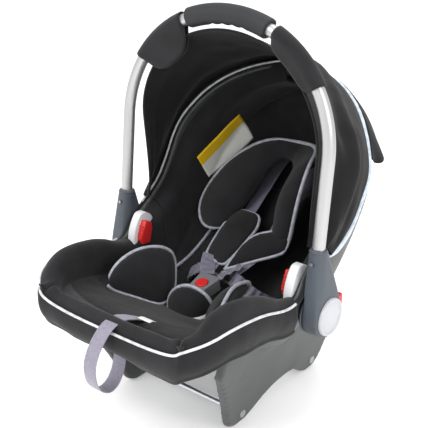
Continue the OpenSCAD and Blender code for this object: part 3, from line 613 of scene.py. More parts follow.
def seam_line(knots):
    """A dense line through (station, angle) knots on the cover."""
    line = smooth(np.array(knots, float), 14)
    return at(line[:, 0], line[:, 1], COVER_D)


def both_sides(knots):
    return [seam_line(knots), seam_line([(s, -a) for s, a in knots])]


def cover_piece(name, s_values, front, seams, puff):
    points, k, m = cover_grid(s_values, front)
    edge = np.clip(np.maximum(k, m), 0, 1) ** 2
    shaped, normal = sewn(points, seams, puff, SEAM_REACH, edge)
    ripple = noise3(shaped, 26, 3) * 0.0011 + noise3(shaped, 70, 5) * 0.0004
    shaped = shaped + normal * (ripple * (1 - edge))[..., None]
    low = shaped - normal * COVER_THICK
    return slab(name, low, shaped, cover_black)


seat_seams = (both_sides([(0.0, 52), (0.9, 58), (2.0, 64), (3.2, 66), (4.4, 66), (5.4, 62), (6.4, 56), (7.2, 52)])
              + [seam_line([(1.5, -60), (1.25, -40), (1.05, -20), (1.0, 0), (1.05, 20), (1.25, 40), (1.5, 60)])])
back_seams = both_sides([(7.2, 52), (8.4, 58), (9.6, 62), (10.8, 64), (12, 60), (13.2, 48), (14, 30), (14.4, 12),
                         (14.5, 0)])
seat_cover = cover_piece("seat_cover", np.linspace(0.25, PAD_SPLIT - 0.02, 120), True, seat_seams, 0.006)
back_cover = cover_piece("back_cover", np.linspace(PAD_SPLIT + 0.02, S_END - 0.05, 120), False,
                         back_seams, 0.006)
for cover, name in ((seat_cover, "seat_pad"), (back_cover, "back_pad")):
    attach(cover, "seat")
    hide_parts(name)

# ---- Piping along the rim ----
# A thin cord in silver-white satin, sewn into the seam where the cover turns over the rim.
# One length runs round the front from hub to hub, and one round the head end.
PIPING_R = 0.0021


def round_line(name, path, radius, mat, sides=10, body="seat", closed=False):
    """A round cord of cloth along a path, one radius or one for each point."""
    path = np.asarray(path, float)
    run = along(path)
    if closed:
        run = unit(np.roll(path, -1, axis=0) - np.roll(path, 1, axis=0))
    lean = np.cross(run[0], (0.31, 0.52, 0.79))
    frames = []
    for way in run:
        lean = unit(lean - way * np.dot(lean, way))
        frames.append((lean, np.cross(way, lean)))
    turn = np.linspace(0, 2 * np.pi, sides, endpoint=False)
    radius = np.broadcast_to(radius, len(path))
    points = np.array([p + r * (np.cos(turn)[:, None] * f[0] + np.sin(turn)[:, None] * f[1])
                       for p, r, f in zip(path, radius, frames)])
    rows = len(path)
    faces = grid_faces(rows, sides, True)
    if closed:
        faces += [((rows - 1) * sides + j, (rows - 1) * sides + (j + 1) % sides, (j + 1) % sides, j)
                  for j in range(sides)]
    else:
        faces += [tuple(range(sides)), tuple(range((rows - 1) * sides, rows * sides))]
    obj = put(name, mesh_of(name, points.reshape(-1, 3), faces), mat)
    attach(obj, body)
    return obj


def satin(name, color, sheen=0.5, roughness=0.38):
    """Satin bias tape: tight diagonal twill with a silky sheen, and painted shade in the hollows of its puckers."""
    mat = shader(name, color, roughness, Sheen_Weight=sheen, Sheen_Roughness=0.3)
    twill = node(mat, "ShaderNodeTexWave", wave_type="BANDS", bands_direction="DIAGONAL", Scale=260,
                 Distortion=1.0)
    puckers = node(mat, "ShaderNodeTexNoise", Scale=120, Detail=2)
    in_object_space(mat, twill, puckers)
    # Painted shade: the noise that dents the puckers also paints their hollows darker.
    tint(mat, puckers.outputs["Fac"], (tuple(c * 0.72 for c in color), color), (0.35, 0.6))
    first = bump(mat, twill.outputs["Fac"], 0.0002, 0.5)
    bump(mat, puckers.outputs["Fac"], 0.0012, 0.6, first)
    return mat


piping_white = satin("piping_white", (0.66, 0.66, 0.68))
piping_silver = satin("piping_silver", (0.36, 0.37, 0.42))
SKIRT_S = 4.7


def rim_line(from_s, to_s, side, count, out=0.003):
    """Line along one side's rim, just outside it."""
    s = np.linspace(from_s, to_s, count)
    return at(s, 90 * side, -out)


def front_rim(out):
    """Line along the rim from the left hub round the front lip to the right hub."""
    lip = np.linspace(-90, 90, 61)[1:-1]
    rise = LIP_RISE * np.sqrt(np.cos(np.radians(lip)))
    front = at(0, lip, 0) + np.stack([0 * lip, -out + 0 * lip, rise], axis=-1)
    return np.concatenate([rim_line(SKIRT_S, 0.02, -1, 60, out), front, rim_line(0.02, SKIRT_S, 1, 60, out)])


def eased(path, rounds=8):
    """A path with its corners rounded off and its ends kept."""
    path = np.array(path, float)
    for _ in range(rounds):
        path[1:-1] = path[1:-1] * 0.5 + (path[:-2] + path[2:]) * 0.25
    return path


front_line = eased(front_rim(0.0045), 10)
round_line("piping_front", front_line, PIPING_R, piping_white)
back_line = np.concatenate([rim_line(6.7, S_END, -1, 120), rim_line(S_END, 6.7, 1, 120)])
round_line("piping_back", eased(back_line, 6), PIPING_R * 0.9, piping_white)

# ---- Front skirt ----
# The cover's elasticated apron: one layer of black knit that hangs from the white piping,
# hides the shell's lip and tucks under it, with a turned hem.
SKIRT_DROP = 0.050
SKIRT_TUCK = 0.020
rows = np.linspace(0, 1, 22)
centre = np.array([0, HUB_Y - 0.04, 0])
out = unit((front_line - centre) * (1, 1, 0))
front_share = np.maximum(-out[:, 1], 0)
folds = np.array([noise3(np.array([p * (1, 1, 0.2)]), 22, 9)[0] for p in front_line])
skirt = []
for g in rows:
    belly = 0.0045 * np.sin(np.pi * min(g * 1.15, 1)) - SKIRT_TUCK * front_share ** 6 * g ** 4
    spread = belly + folds * 0.004 * g ** 1.3
    drop = SKIRT_DROP * (1 + 0.05 * folds) * g
    skirt.append(front_line + out * (spread - 0.001)[:, None] - np.array([0, 0, 1]) * drop[:, None])
skirt = np.array(skirt).transpose(1, 0, 2)
skirt = skirt + grid_normals(skirt) * (noise3(skirt, 45, 11) * 0.0008)[..., None]
normal = grid_normals(skirt)
hem_roll = np.exp(-((rows - 0.965) / 0.03) ** 2) * 0.0008
apron = slab("front_skirt_cloth", skirt - normal * (0.0009 + hem_roll)[None, :, None],
             skirt + normal * (0.0009 + hem_roll)[None, :, None], cover_black)
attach(apron, "seat")
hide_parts("front_skirt")

# ---- Hood ----
# Thin black woven cloth, stretched from a hemmed arch under the handle to a pale bias-bound
# hem that is buttoned round the outside of the shell. A loose flap hangs behind the head.
HEM = np.array([(7.4, 88), (9, 80), (10.6, 77), (12.2, 70), (13.5, 54), (14.5, 30), (14.9, 0)], float)
HANDLE_LEAN = math.radians(6)
HANDLE_AHEAD = 0.020
TUBE_HALF_W, CROWN_H, CROWN_R, CROWN_A = 0.200, 0.438, 0.225, math.radians(20.5)
SHOULDER_R = (TUBE_HALF_W - CROWN_R * math.sin(CROWN_A)) / (1 - math.sin(CROWN_A))
STRAIGHT_TOP = CROWN_H - CROWN_R * (1 - math.cos(CROWN_A)) - SHOULDER_R * math.cos(CROWN_A)
TUBE_R = 0.010
CROWN_PART, BEND_PART = 0.28, 0.4
HOOD_IN = TUBE_R + 0.014
HOOD_FOOT, HOOD_BACK = 0.100, 0.024


def handle_plane(x, y, z):
    """Points given in the upright handle's own plane, moved to where it stands."""
    x, y, z = np.broadcast_arrays(x, y, z)
    c, s = math.cos(HANDLE_LEAN), math.sin(HANDLE_LEAN)
    return np.stack([x, HUB_Y - HANDLE_AHEAD + y * c + z * s, HUB_Z - y * s + z * c], axis=-1)


def bow(u, inset, foot):
    """Centre line of the tube, or of a line inset from it: x and height in the handle's plane."""
    u = np.asarray(u, float)
    m = np.abs(u)
    bend = np.clip((m - CROWN_PART) / BEND_PART, 0, 1)
    angle = np.where(m < CROWN_PART, CROWN_A * m / CROWN_PART, CROWN_A + (math.pi / 2 - CROWN_A) * bend)
    run = np.clip((m - CROWN_PART - BEND_PART) / (1 - CROWN_PART - BEND_PART), 0, 1)
    top = m < CROWN_PART
    x = np.where(top, (CROWN_R - inset) * np.sin(angle),
                 TUBE_HALF_W - SHOULDER_R + (SHOULDER_R - inset) * np.sin(angle))
    z = np.where(top, CROWN_H - CROWN_R + (CROWN_R - inset) * np.cos(angle),
                 STRAIGHT_TOP + (SHOULDER_R - inset) * np.cos(angle))
    return np.sign(u) * x, z - run * (STRAIGHT_TOP - foot)


def ease(t):
    t = np.clip(t, 0, 1)
    return t * t * (3 - 2 * t)


def arch(u):
    """Front edge of the hood, from the left hub (-1) over the crown to the right hub (1)."""
    x, z = bow(u, HOOD_IN, HOOD_FOOT)
    m = np.abs(u)
    x = x * (1 - 0.06 * ease((m - 0.6) / 0.4))
    points = handle_plane(x, 0, z)
    points[..., 1] += HOOD_BACK * ease((m - 0.45) / 0.55)
    return points


def hem_at(u, d, beyond=0.0):
    """The hood's hem on the outside of the bucket, or a line that many degrees below it."""
    u = np.asarray(u, float)
    h = on_path(HEM, (1 - np.abs(u)) * (len(HEM) - 1))
    return at(h[..., 0] - 0.06 * beyond, np.where(u < 0, -1, 1) * np.maximum(h[..., 1] - beyond, 0), -d)


def hood_points(u, v):
    """The hood's cloth: v runs from its front edge (0) to its hem (1)."""
    p = arch(u) * (1 - v)[..., None] + hem_at(u, 0.005) * v[..., None]
    o = unit(p - (0, HUB_Y + 0.06, HUB_Z + 0.12))
    crown = 1 - 0.6 * np.abs(u)
    swell = (0.007 * np.sin(np.pi * v) * (1 - 0.55 * v) + 0.006 * np.exp(-((v - 0.84) / 0.1) ** 2)) * crown
    return p + o * swell[..., None]


u_hood, v_hood = np.meshgrid(np.linspace(-1, 1, 181), np.linspace(0, 1, 45), indexing="ij")
cloth = hood_points(u_hood, v_hood)
side_share = np.clip((np.abs(u_hood) - 0.25) / 0.3, 0, 1)
middle = np.sin(np.pi * v_hood) ** 0.7
pleats = (np.sin(v_hood * 15 + np.abs(u_hood) * 7) * 0.0022
          + np.sin(v_hood * 34 - np.abs(u_hood) * 11) * 0.0010)
pull = noise3(cloth, 12, 21) * 0.004 + noise3(cloth * (1, 1, 0.35), 40, 23) * 0.0016
over_rim = 0.012 * np.exp(-(nearest(cloth, back_line[::2]) / 0.020) ** 2) * np.minimum((1 - v_hood) / 0.12, 1)
lift = (pleats * side_share + pull) * middle
away = grid_normals(cloth)
away = away * np.sign(np.sum(away * (cloth - (0, HUB_Y + 0.06, HUB_Z + 0.12)), axis=-1))[..., None]
cloth = cloth + away * (lift + over_rim)[..., None]
normal = grid_normals(cloth)
hem_bulk = 0.0005 + 0.0016 * np.exp(-(v_hood / 0.018) ** 2)
hood = slab("hood_cloth", cloth - normal * hem_bulk[..., None], cloth + normal * hem_bulk[..., None],
            hood_black)
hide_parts("canopy")
arch_length = length_of(arch(np.linspace(-1, 1, 200)))
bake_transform(hood)

# The hem's binding: a flat pale-blue satin tape, folded over the edge and stitched through.
BINDING_W, BINDING_T = 0.014, 0.0045
tape_blue = satin("tape_blue", (0.62, 0.70, 0.80), 0.6, 0.34)
u_tape = np.linspace(-1, 1, 241)
across = np.linspace(0, 1, 11)
upper, lower = hem_at(u_tape, 0.004), hem_at(u_tape, 0.004, 4)
band = upper[:, None] + unit(lower - upper)[:, None] * ((across - 0.5) * BINDING_W)[None, :, None]
normal = grid_normals(band)
flip = np.sign(np.sum(normal * (band - (0, HUB_Y, HUB_Z + 0.1)), axis=-1))[..., None]
dome = (np.sqrt(np.maximum(1 - (2 * across - 1) ** 2, 0)) * BINDING_T)[None, :, None]
pucker = (noise3(band, 160, 31) * 0.0005)[..., None]
binding = slab("hem_binding", band - normal * flip * 0.0006,
               band + normal * flip * (dome + 0.0008 + pucker), tape_blue)
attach(binding, "seat")
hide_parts("rim_binding")

# The loose flap behind the head end.
TAIL_REACH, TAIL_DROP, TAIL_GAP, TAIL_FLARE = 0.56, 1.15, 0.010, 0.024
u_tail, v_tail = np.meshgrid(np.linspace(-1, 1, 81), np.linspace(0, 1, 17), indexing="ij")
h = on_path(HEM, (1 - np.abs(u_tail * TAIL_REACH)) * (len(HEM) - 1))
end_share = 1 - np.abs(u_tail) ** 6
stand = (TAIL_GAP + TAIL_FLARE * v_tail * np.abs(u_tail) ** 1.5 * end_share
         + 0.002 * np.sin(u_tail * 17) * v_tail)
flap = at(h[..., 0] - TAIL_DROP * v_tail * end_share,
          np.where(u_tail < 0, -1, 1) * np.maximum(h[..., 1], 0) * (1 - 0.1 * v_tail), -stand)
normal = grid_normals(flap)
tail = slab("hood_flap", flap - normal * 0.0008, flap + normal * 0.0008, hood_black)
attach(tail, "seat")
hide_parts("canopy_tail")

# Two tabs of doubled cloth wrap the tube at its shoulders and are stitched to the hood's edge.
TAB_U = (0.30, 0.49)
TAB_FLAP = {-1: 0.050, 1: 0.026}
TAB_T = 0.0022


def tab_points(side, grow):
    """Wrap of a tab: a profile from its front flap round the tube to its back flap."""
    count = 30
    u = np.linspace(TAB_U[0], TAB_U[1], count)
    x, z = bow(u, 0.0, 0.1)
    x2, z2 = bow(u, 0.01, 0.1)
    inward = unit(np.stack([x2 - x, z2 - z], axis=-1))
    t = np.linspace(-1, 1, count)
    reach = 0.012 + (TAB_FLAP[side] - 0.012) * np.maximum(1 - np.abs(t) ** 3.2, 0.0) ** 0.5
    radius = TUBE_R + 0.002 + grow
    turn = np.radians(np.linspace(-78, 78, 17))
    rows = []
    for i in range(count):
        run = np.linspace(1, 0, 9)[:-1]
        p_flap = reach[i] * run + radius * 0.2 * (1 - run)
        q_flap = (0.003 + grow) * run ** 0.7 + radius * 0.98 * (1 - run ** 0.7)
        p = np.concatenate([p_flap, -radius * np.cos(turn), p_flap[::-1]])
        q = np.concatenate([-q_flap, radius * np.sin(turn), q_flap[::-1]])
        rows.append(handle_plane(side * (x[i] + inward[i, 0] * p), q, z[i] + inward[i, 1] * p))
    return np.array(rows)


for side, word in ((-1, "left"), (1, "right")):
    tab = slab("tab_" + word, tab_points(side, 0.0), tab_points(side, TAB_T), cover_black)
    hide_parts("canopy_tab_" + word)
    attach(tab, "handle")

# ---- Padded inserts ----
# Head hugger, hip bolsters, body insert and pads: two panels of black knit sewn round their
# edge into silver-white piping and filled with soft wadding.
VOXEL = 0.0045
PRESSURE = 4.0
CLOTH_STEPS = 20


def quilt(name, first, second, bulge, height, base, across=26, pinch=0.5, ends=0.35):
    """A closed cushion between two edge lines, crowned by height towards bulge and by base away from it."""
    first, second = np.asarray(first, float), np.asarray(second, float)
    n = len(first)
    t = np.linspace(0, 1, across)
    s = np.linspace(0, 1, n)
    crown = (np.maximum(np.sin(np.pi * t), 0)[None, :] ** pinch
             * np.maximum(np.sin(np.pi * s), 0)[:, None] ** ends)
    flat = first[:, None] * (1 - t)[None, :, None] + second[:, None] * t[None, :, None]
    way = unit(np.broadcast_to(np.asarray(bulge, float), first.shape))[:, None]
    height = np.broadcast_to(height, n)[:, None]
    obj = slab(name, flat - way * (crown * base)[..., None], flat + way * (crown * height)[..., None],
               pad_black)
    work = bmesh.new()
    work.from_mesh(obj.data)
    bmesh.ops.remove_doubles(work, verts=work.verts, dist=0.0004)
    bmesh.ops.recalc_face_normals(work, faces=work.faces)
    work.to_mesh(obj.data)
    work.free()
    return obj


def coordinates(mesh):
    co = np.zeros(len(mesh.vertices) * 3)
    mesh.vertices.foreach_get("co", co)
    return co.reshape(-1, 3)


def inflate(obj, seam, cap):
    """Blows a cushion up as cloth, held along its seam, so that its panels wrinkle towards it."""
    remeshed(obj, VOXEL)
    baked(obj)
    start = coordinates(obj.data)
    held = np.where(nearest(start, np.asarray(seam)) < VOXEL * 1.1)[0]
    group = obj.vertex_groups.new(name="seam")
    group.add([int(i) for i in held], 1.0, "REPLACE")
    cloth_mod = obj.modifiers.new("cloth", "CLOTH")
    settings = cloth_mod.settings
    settings.quality = 5
    settings.use_pressure = True
    settings.uniform_pressure_force = PRESSURE
    settings.effector_weights.gravity = 0
    settings.vertex_group_mass = "seam"
    settings.tension_stiffness = 12
    settings.compression_stiffness = 6
    settings.shear_stiffness = 4
    settings.bending_stiffness = 0.3
    cloth_mod.collision_settings.use_collision = False
    for step in range(1, CLOTH_STEPS + 1):
        scene.frame_set(step)
    moved = coordinates(obj.evaluated_get(bpy.context.evaluated_depsgraph_get()).to_mesh())
    obj.modifiers.clear()
    obj.vertex_groups.clear()
    scene.frame_set(1)
    gap = moved - start
    length = np.linalg.norm(gap, axis=1, keepdims=True)
    start = start + gap * np.minimum(1, cap / np.maximum(length, 1e-9))
    obj.data.vertices.foreach_set("co", start.ravel())
    obj.data.update()
    soften = obj.modifiers.new("relax", "SMOOTH")
    soften.iterations = 2
    fine = obj.modifiers.new("fine", "SUBSURF")
    fine.levels = fine.render_levels = 1
    baked(obj)
    return obj


def insert_piece(obj, seam, node_name, cap):
    inflate(obj, seam, cap)
    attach(obj, "seat")
    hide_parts(node_name)
    return obj


def here(points):
    """Points given in millimetres from the hub axis, in the shared frame."""
    return np.array(points, float) / 1000 + (0, HUB_Y, 0)


# Head hugger: one horseshoe with two wide wings that hold the head between them.
wing_outer = [(-62, 92, 238), (-86, 90, 231), (-108, 94, 231), (-124, 103, 241), (-134, 116, 257), (-138, 135, 275),
              (-134, 158, 298), (-116, 182, 329), (-86, 202, 355), (-59, 212, 370), (-28, 218, 379)]
wing_inner = [(-50, 100, 244), (-52, 106, 246), (-46, 112, 254), (-42, 120, 264), (-37, 130, 274), (-32, 142, 286),
              (-28, 156, 300), (-25, 172, 316), (-22, 186, 330), (-15, 196, 342), (-8, 202, 350)]
wing_right = [(50, 80, 234), (68, 75, 236), (82, 77, 243), (89, 81, 262), (91, 87, 292), (92, 97, 326),
              (93, 112, 360), (90, 134, 382), (80, 164, 387), (62, 194, 386), (34, 218, 382)]
outer = smooth(here(wing_outer), 5)
inner = smooth(here(wing_inner), 5)
mirror = np.array([-1, 1, 1])
outer_line = np.concatenate([outer, smooth(here(wing_right), 5)[::-1]])
inner_line = np.concatenate([inner, (inner * mirror)[::-1]])
share = np.linspace(-1, 1, len(outer_line))
facing = np.stack([np.where(share < 0, 0.35, -0.35) * np.abs(share) ** 0.5,
                   -0.72 + 0 * share, 0.45 + 0 * share], axis=-1)
plump = 0.012 + 0.020 * ease((np.abs(share) - 0.1) / 0.5)
hugger = quilt("head_hugger_pad", outer_line, inner_line, facing, plump, 0.012, 34, 0.6, 0.3)
insert_piece(hugger, outer_line, "head_hugger", cap=0.006)
round_line("hugger_piping", eased(np.concatenate([inner_line[:1], outer_line, inner_line[-1:]]), 4),
           0.0036, piping_silver, 12)

# Body insert: a thin pad down the backrest, edged with satin tape.
INSERT_D = 0.0345
edge_s = np.linspace(6.9, 10.6, 40)
left_edge = at(edge_s, -39 + 6 * (edge_s - 8.5) / 2, INSERT_D)
right_edge = at(edge_s, 39 - 6 * (edge_s - 8.5) / 2, INSERT_D)
s_mid, a_mid = np.meshgrid(edge_s, np.linspace(-1, 1, 26), indexing="ij")
half = 39 - 6 * (s_mid - 8.5) / 2
crown = np.maximum(1 - np.abs(a_mid) ** 4, 0) * np.sin(np.pi * (s_mid - 6.9) / 3.7) ** 0.3
insert_low = at(s_mid, a_mid * half, INSERT_D - 0.002)
insert_top = at(s_mid, a_mid * half, INSERT_D + 0.010 * crown + 0.002 * np.cos(a_mid * 9) * crown)
insert = slab("body_insert_pad", insert_low, insert_top, pad_black)
insert_piece(insert, np.concatenate([left_edge, right_edge]), "body_insert", cap=0.004)
round_line("insert_tape_left", eased(left_edge, 3), 0.0032, piping_silver)
round_line("insert_tape_right", eased(right_edge, 3), 0.0032, piping_silver)

# Hip bolsters: half-moons that stand between the side wing and the child's hip.
bolster_top = [(-113, -150, 206), (-112, -138, 226), (-108, -115, 241), (-99, -85, 249), (-86, -52, 245),
               (-77, -32, 231), (-74, -26, 212), (-68, -32, 192)]
bolster_low = [(-112, -150, 203), (-104, -141, 192), (-90, -125, 182), (-74, -112, 174), (-58, -102, 168),
               (-48, -88, 164), (-48, -66, 168), (-58, -44, 180)]
near_top = [(-110, -146, 206), (-109, -134, 222), (-105, -115, 234), (-98, -92, 239), (-92, -70, 237), (-90, -50, 233),
            (-89, -32, 226), (-84, -22, 208)]
for side, word in ((1, "left"), (-1, "right")):
    top_edge = smooth(here(bolster_top if side > 0 else near_top), 5) * (side, 1, 1)
    low_edge = smooth(here(bolster_low), 5) * (side, 1, 1)
    bolster = quilt("hip_bolster_pad_" + word, top_edge, low_edge, (0.62 * side, -0.55, 0.55), 0.016, 0.012)
    loop = np.concatenate([top_edge, low_edge[::-1]])
    insert_piece(bolster, loop, "hip_bolster_" + word, cap=0.007)
    piping = np.concatenate([low_edge[::-1][:1], top_edge, low_edge[::-1]])
    round_line("bolster_piping_" + word, eased(piping, 3), 0.0030, piping_silver, 10)

# Shoulder pads: soft sleeves over the shoulder straps. The right one has slipped outwards.
pads = {
    "left": ([(-48, 28, 214), (-53, 50, 225), (-56, 80, 242), (-54, 108, 258), (-44, 124, 267)],
             [(0, 10, 208), (5, 40, 222), (8, 70, 238), (10, 98, 254), (-2, 122, 268)], (-0.1, -0.55, 0.83)),
    "right": ([(6, 10, 206), (28, 26, 215), (52, 42, 225), (74, 55, 234), (92, 66, 243)],
              [(12, 56, 240), (24, 76, 252), (46, 88, 260), (68, 94, 266), (88, 92, 268)], (0.05, -0.62, 0.78)),
}
for word, (first, second, bulge) in pads.items():
    first, second = smooth(here(first), 6), smooth(here(second), 6)
    pad = quilt("shoulder_pad_" + word + "_soft", first, second, bulge, 0.010, 0.006, 24, 0.35, 0.2)
    loop = np.concatenate([first, second[::-1], first[:1]])
    insert_piece(pad, loop, "shoulder_pad_" + word, cap=0.004)
    round_line("pad_piping_" + word, eased(loop, 3), 0.0028, piping_silver, 10)

# Crotch pad: a dome behind the buckle's strap, with a turned white hem at its foot.
dome_rim = [(-36, -86, 160), (-37, -84, 176), (-30, -80, 192), (-16, -76, 203), (0, -73, 207), (16, -70, 204),
            (30, -66, 195), (37, -62, 180), (36, -64, 166)]
foot_rim = [(-34, -88, 158), (-30, -90, 157), (-22, -92, 156), (-11, -94, 156), (0, -94, 156), (11, -93, 157),
            (22, -88, 159), (30, -78, 161), (34, -68, 163)]
dome_edge, foot_edge = smooth(here(dome_rim), 5), smooth(here(foot_rim), 5)
crotch = quilt("crotch_pad_soft", dome_edge, foot_edge, (0.15, -0.8, 0.45), 0.012, 0.004)
insert_piece(crotch, np.concatenate([dome_edge, foot_edge]), "crotch_pad", cap=0.005)
round_line("crotch_piping", eased(dome_edge, 3), 0.0032, piping_silver, 10)
round_line("crotch_hem", eased(foot_edge + (0, -0.002, 0), 3), 0.0045, piping_white, 12)

# ---- Harness ----
# Satin webbing in grey violet runs from two slots in the backrest through the pads to steel
# tongues, from each side of the seat to the same tongues, and from the seat up to the buckle.
web_violet = web_material("harness_webbing", (0.115, 0.108, 0.15), (0.17, 0.16, 0.21))
STRAPS = {
    "shoulder_strap_left": ([(-38, 262, 326), (-38, 232, 322), (-33, 118, 252), (-21, 4, 203)], (1, 0, 0), 0.0006),
    "shoulder_strap_right": ([(38, 262, 326), (38, 232, 322), (37, 140, 265), (42, 84, 238), (38, 44, 222),
                              (21, 4, 203)], (1, 0, 0), 0.0006),
    "hip_strap_left": ([(-92, 40, 152), (-70, 10, 176), (-46, 0, 196), (-34, -4, 204)], (-0.4, 1, 0.5), 0.0022),
    "hip_strap_right": ([(92, 40, 152), (70, 10, 176), (46, 0, 196), (34, -4, 204)], (0.4, 1, 0.5), 0.0022),
    "crotch_strap": ([(0, -62, 126), (0, -68, 146), (0, -73, 167), (0, -71, 181), (0, -56, 187)], (1, 0, 0), 0.0008),
}
for name, (knots, wide, puckers) in STRAPS.items():
    strap = webbing(name + "_web", smooth(here(knots), 14), wide, WEB_W, WEB_T, web_violet, puckers, 0.014)
    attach(strap, body_of[name])
    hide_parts(name)
yoke_path = at(np.linspace(10.25, 1.9, 90), 0, -0.004)
yoke_web = webbing("yoke_strap_web", yoke_path, (1, 0, 0), WEB_W, WEB_T, web_violet)
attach(yoke_web, "seat")
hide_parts("yoke_strap")

# The slack of the two shoulder straps lies bunched over the buckle in soft ruffles.
for side, word in ((-1, "left"), (1, "right")):
    slack = here([(side * 12, -14, 203), (side * 19, -4, 209), (side * 27, 8, 213), (side * 34, 22, 218)])
    ruffle = webbing("slack_" + word, smooth(slack, 16), (0.75, -0.15 * side, 0.62 * side * 0.5), WEB_W * 1.05,
                     WEB_T * 1.2, web_violet, 0.0035, 0.015)
    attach(ruffle, "seat")

buckle_grey = plastic("buckle_grey", (0.17, 0.175, 0.185), 0.42)
button_red = plastic("button_red", (0.62, 0.02, 0.02), 0.35, 1400, 0.00004)
from_cad("buckle_body", buckle_grey, 0.0028, 30, 3)
from_cad("buckle_button", button_red, 0.0016, 30, 3)
from_cad("adjuster_housing", buckle_grey, 0.001)
from_cad("adjuster_lever", dull_steel, 0.0008)

# ---- Hubs, release levers and lock buttons ----
# Each hub has a round housing on the shell, a white bezel inside with a ribbed red squeeze
# lever, and a red lock button behind the handle's leg.
slate = plastic("slate_plastic", (0.068, 0.082, 0.098), 0.5)
off_white = plastic("off_white", (0.72, 0.73, 0.75), 0.38)
BEZEL_X = 0.162
LEVER_OUT = 0.0145
BEZEL_LINE = [(-5, 274), (10, 263), (14, 243), (10, 222), (-8, 207), (-30, 206), (-38, 222), (-34, 248),
              (-20, 272)]
LEVER_LINE = [(-17, 263), (-2, 257), (0, 244), (-7, 219), (-26, 220), (-29, 236)]
RIB_R, RIB_COUNT, RIB_STEP = 0.0013, 5, (0, 0.0015, 0.0052)
RIB_Y, RIB_Z = HUB_Y - 0.0285, 0.2325


def plate(name, outline, x0, x1, mat, bevel, side, steps=5):
    """A flat plate whose outline is given as (Y from the hub, Z) in millimetres, between x0 and x1."""
    loop = smooth(np.array(outline + outline[:1], float), steps)[:-1] / 1000
    count = len(loop)
    points = [(side * x, HUB_Y + y, z) for x in (x0, x1) for y, z in loop]
    faces = [tuple(range(count)), tuple(range(count, 2 * count))]
    faces += [(i, (i + 1) % count, (i + 1) % count + count, i + count) for i in range(count)]
    obj = put(name, mesh_of(name, np.array(points), faces), mat)
    edge = obj.modifiers.new("bevel", "BEVEL")
    edge.width = bevel
    edge.segments = 3
    edge.limit_method = "ANGLE"
    edge.angle_limit = math.radians(50)
    baked(obj)
    obj.data.set_sharp_from_angle(angle=math.radians(50))
    return obj


def row_of(name, count, step, mat):
    """A node tree that repeats its mesh along a line and gives the copies one material."""
    tree = bpy.data.node_groups.new(name, "GeometryNodeTree")
    face = tree.interface
    face.new_socket("Geometry", in_out="INPUT", socket_type="NodeSocketGeometry")
    sockets = {key: face.new_socket(key, in_out="INPUT", socket_type=kind).identifier for key, kind in
               (("Count", "NodeSocketInt"), ("Step", "NodeSocketVector"), ("Material", "NodeSocketMaterial"))}
    face.new_socket("Geometry", in_out="OUTPUT", socket_type="NodeSocketGeometry")
    made = {key: tree.nodes.new(kind) for key, kind in
            (("in", "NodeGroupInput"), ("line", "GeometryNodeMeshLine"), ("copy", "GeometryNodeInstanceOnPoints"),
             ("real", "GeometryNodeRealizeInstances"), ("mat", "GeometryNodeSetMaterial"), ("out", "NodeGroupOutput"))}
    join = tree.links.new
    join(made["in"].outputs["Count"], made["line"].inputs["Count"])
    join(made["in"].outputs["Step"], made["line"].inputs["Offset"])
    join(made["line"].outputs["Mesh"], made["copy"].inputs["Points"])
    join(made["in"].outputs["Geometry"], made["copy"].inputs["Instance"])
    join(made["copy"].outputs["Instances"], made["real"].inputs["Geometry"])
    join(made["real"].outputs["Geometry"], made["mat"].inputs["Geometry"])
    join(made["in"].outputs["Material"], made["mat"].inputs["Material"])
    join(made["mat"].outputs["Geometry"], made["out"].inputs["Geometry"])
    return tree, {sockets["Count"]: count, sockets["Step"]: step, sockets["Material"]: mat}


for side, word in ((-1, "left"), (1, "right")):
    from_cad("hub_housing_" + word, slate, 0.0015)
    bezel = plate("bezel_" + word, BEZEL_LINE, BEZEL_X - 0.004, BEZEL_X + 0.012, off_white, 0.0025, side)
    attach(bezel, body_of["lever_bezel_" + word])
    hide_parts("lever_bezel_" + word)
    lever = plate("lever_" + word, LEVER_LINE, BEZEL_X - LEVER_OUT, BEZEL_X + 0.009, button_red, 0.0022,
                  side, 1)
    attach(lever, body_of["release_lever_" + word])
    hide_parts("release_lever_" + word)
    rib_path = np.array([(side * (BEZEL_X - 0.001), RIB_Y, RIB_Z),
                         (side * (BEZEL_X - LEVER_OUT + 0.0015), RIB_Y, RIB_Z)])
    ribs = round_line("lever_ribs_" + word, smooth(rib_path, 6), RIB_R, button_red, 8,
                      body_of["release_lever_" + word])
    tree, values = row_of("ribs_" + word, RIB_COUNT, RIB_STEP, button_red)
    repeat = ribs.modifiers.new("ribs", "NODES")
    repeat.node_group = tree
    for key, value in values.items():
        repeat[key] = value
    baked(ribs)
    from_cad("lock_button_" + word, button_red, 0.003, 30, 3)

# ---- Handle ----
# A satin aluminium tube bent into an arch, riveted into two slate legs that turn on the hubs.
# Its crown carries a soft black grip with four finger hollows; plain white caps hide the pins.
alu = metal("satin_aluminium", (0.50, 0.50, 0.50), 0.36, (60, 60, 700))
alu.node_tree.nodes["Principled BSDF"].inputs["Metallic"].default_value = 0.85
grip_black = plastic("grip_black", (0.012, 0.013, 0.015), 0.62, 2200, 0.00015)
cap_white = plastic("cap_white", (0.52, 0.53, 0.56), 0.34, 1600, 0.00003)
SOCKET_BOTTOM = 0.062
u_tube = np.linspace(-1, 1, 221)
x, z = bow(u_tube, 0, SOCKET_BOTTOM)
tube = round_line("tube", handle_plane(x, 0, z), TUBE_R, alu, 40, "handle")
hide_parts("handle_tube")
grip = from_cad("handle_grip", grip_black)
melt(grip, 0.0018, 6)
LEG_TOP = 0.114
COLLAR_R = TUBE_R + 0.0034
# The lock button's pocket in the left leg, as two corners measured from the hub.
POCKET = np.array([(0.1975, 0.0172, -0.0072), (0.2142, 0.0550, 0.0192)])
POCKET_FACES = [(0, 1, 3, 2), (4, 6, 7, 5), (0, 4, 5, 1), (2, 3, 7, 6), (0, 2, 6, 4), (1, 5, 7, 3)]
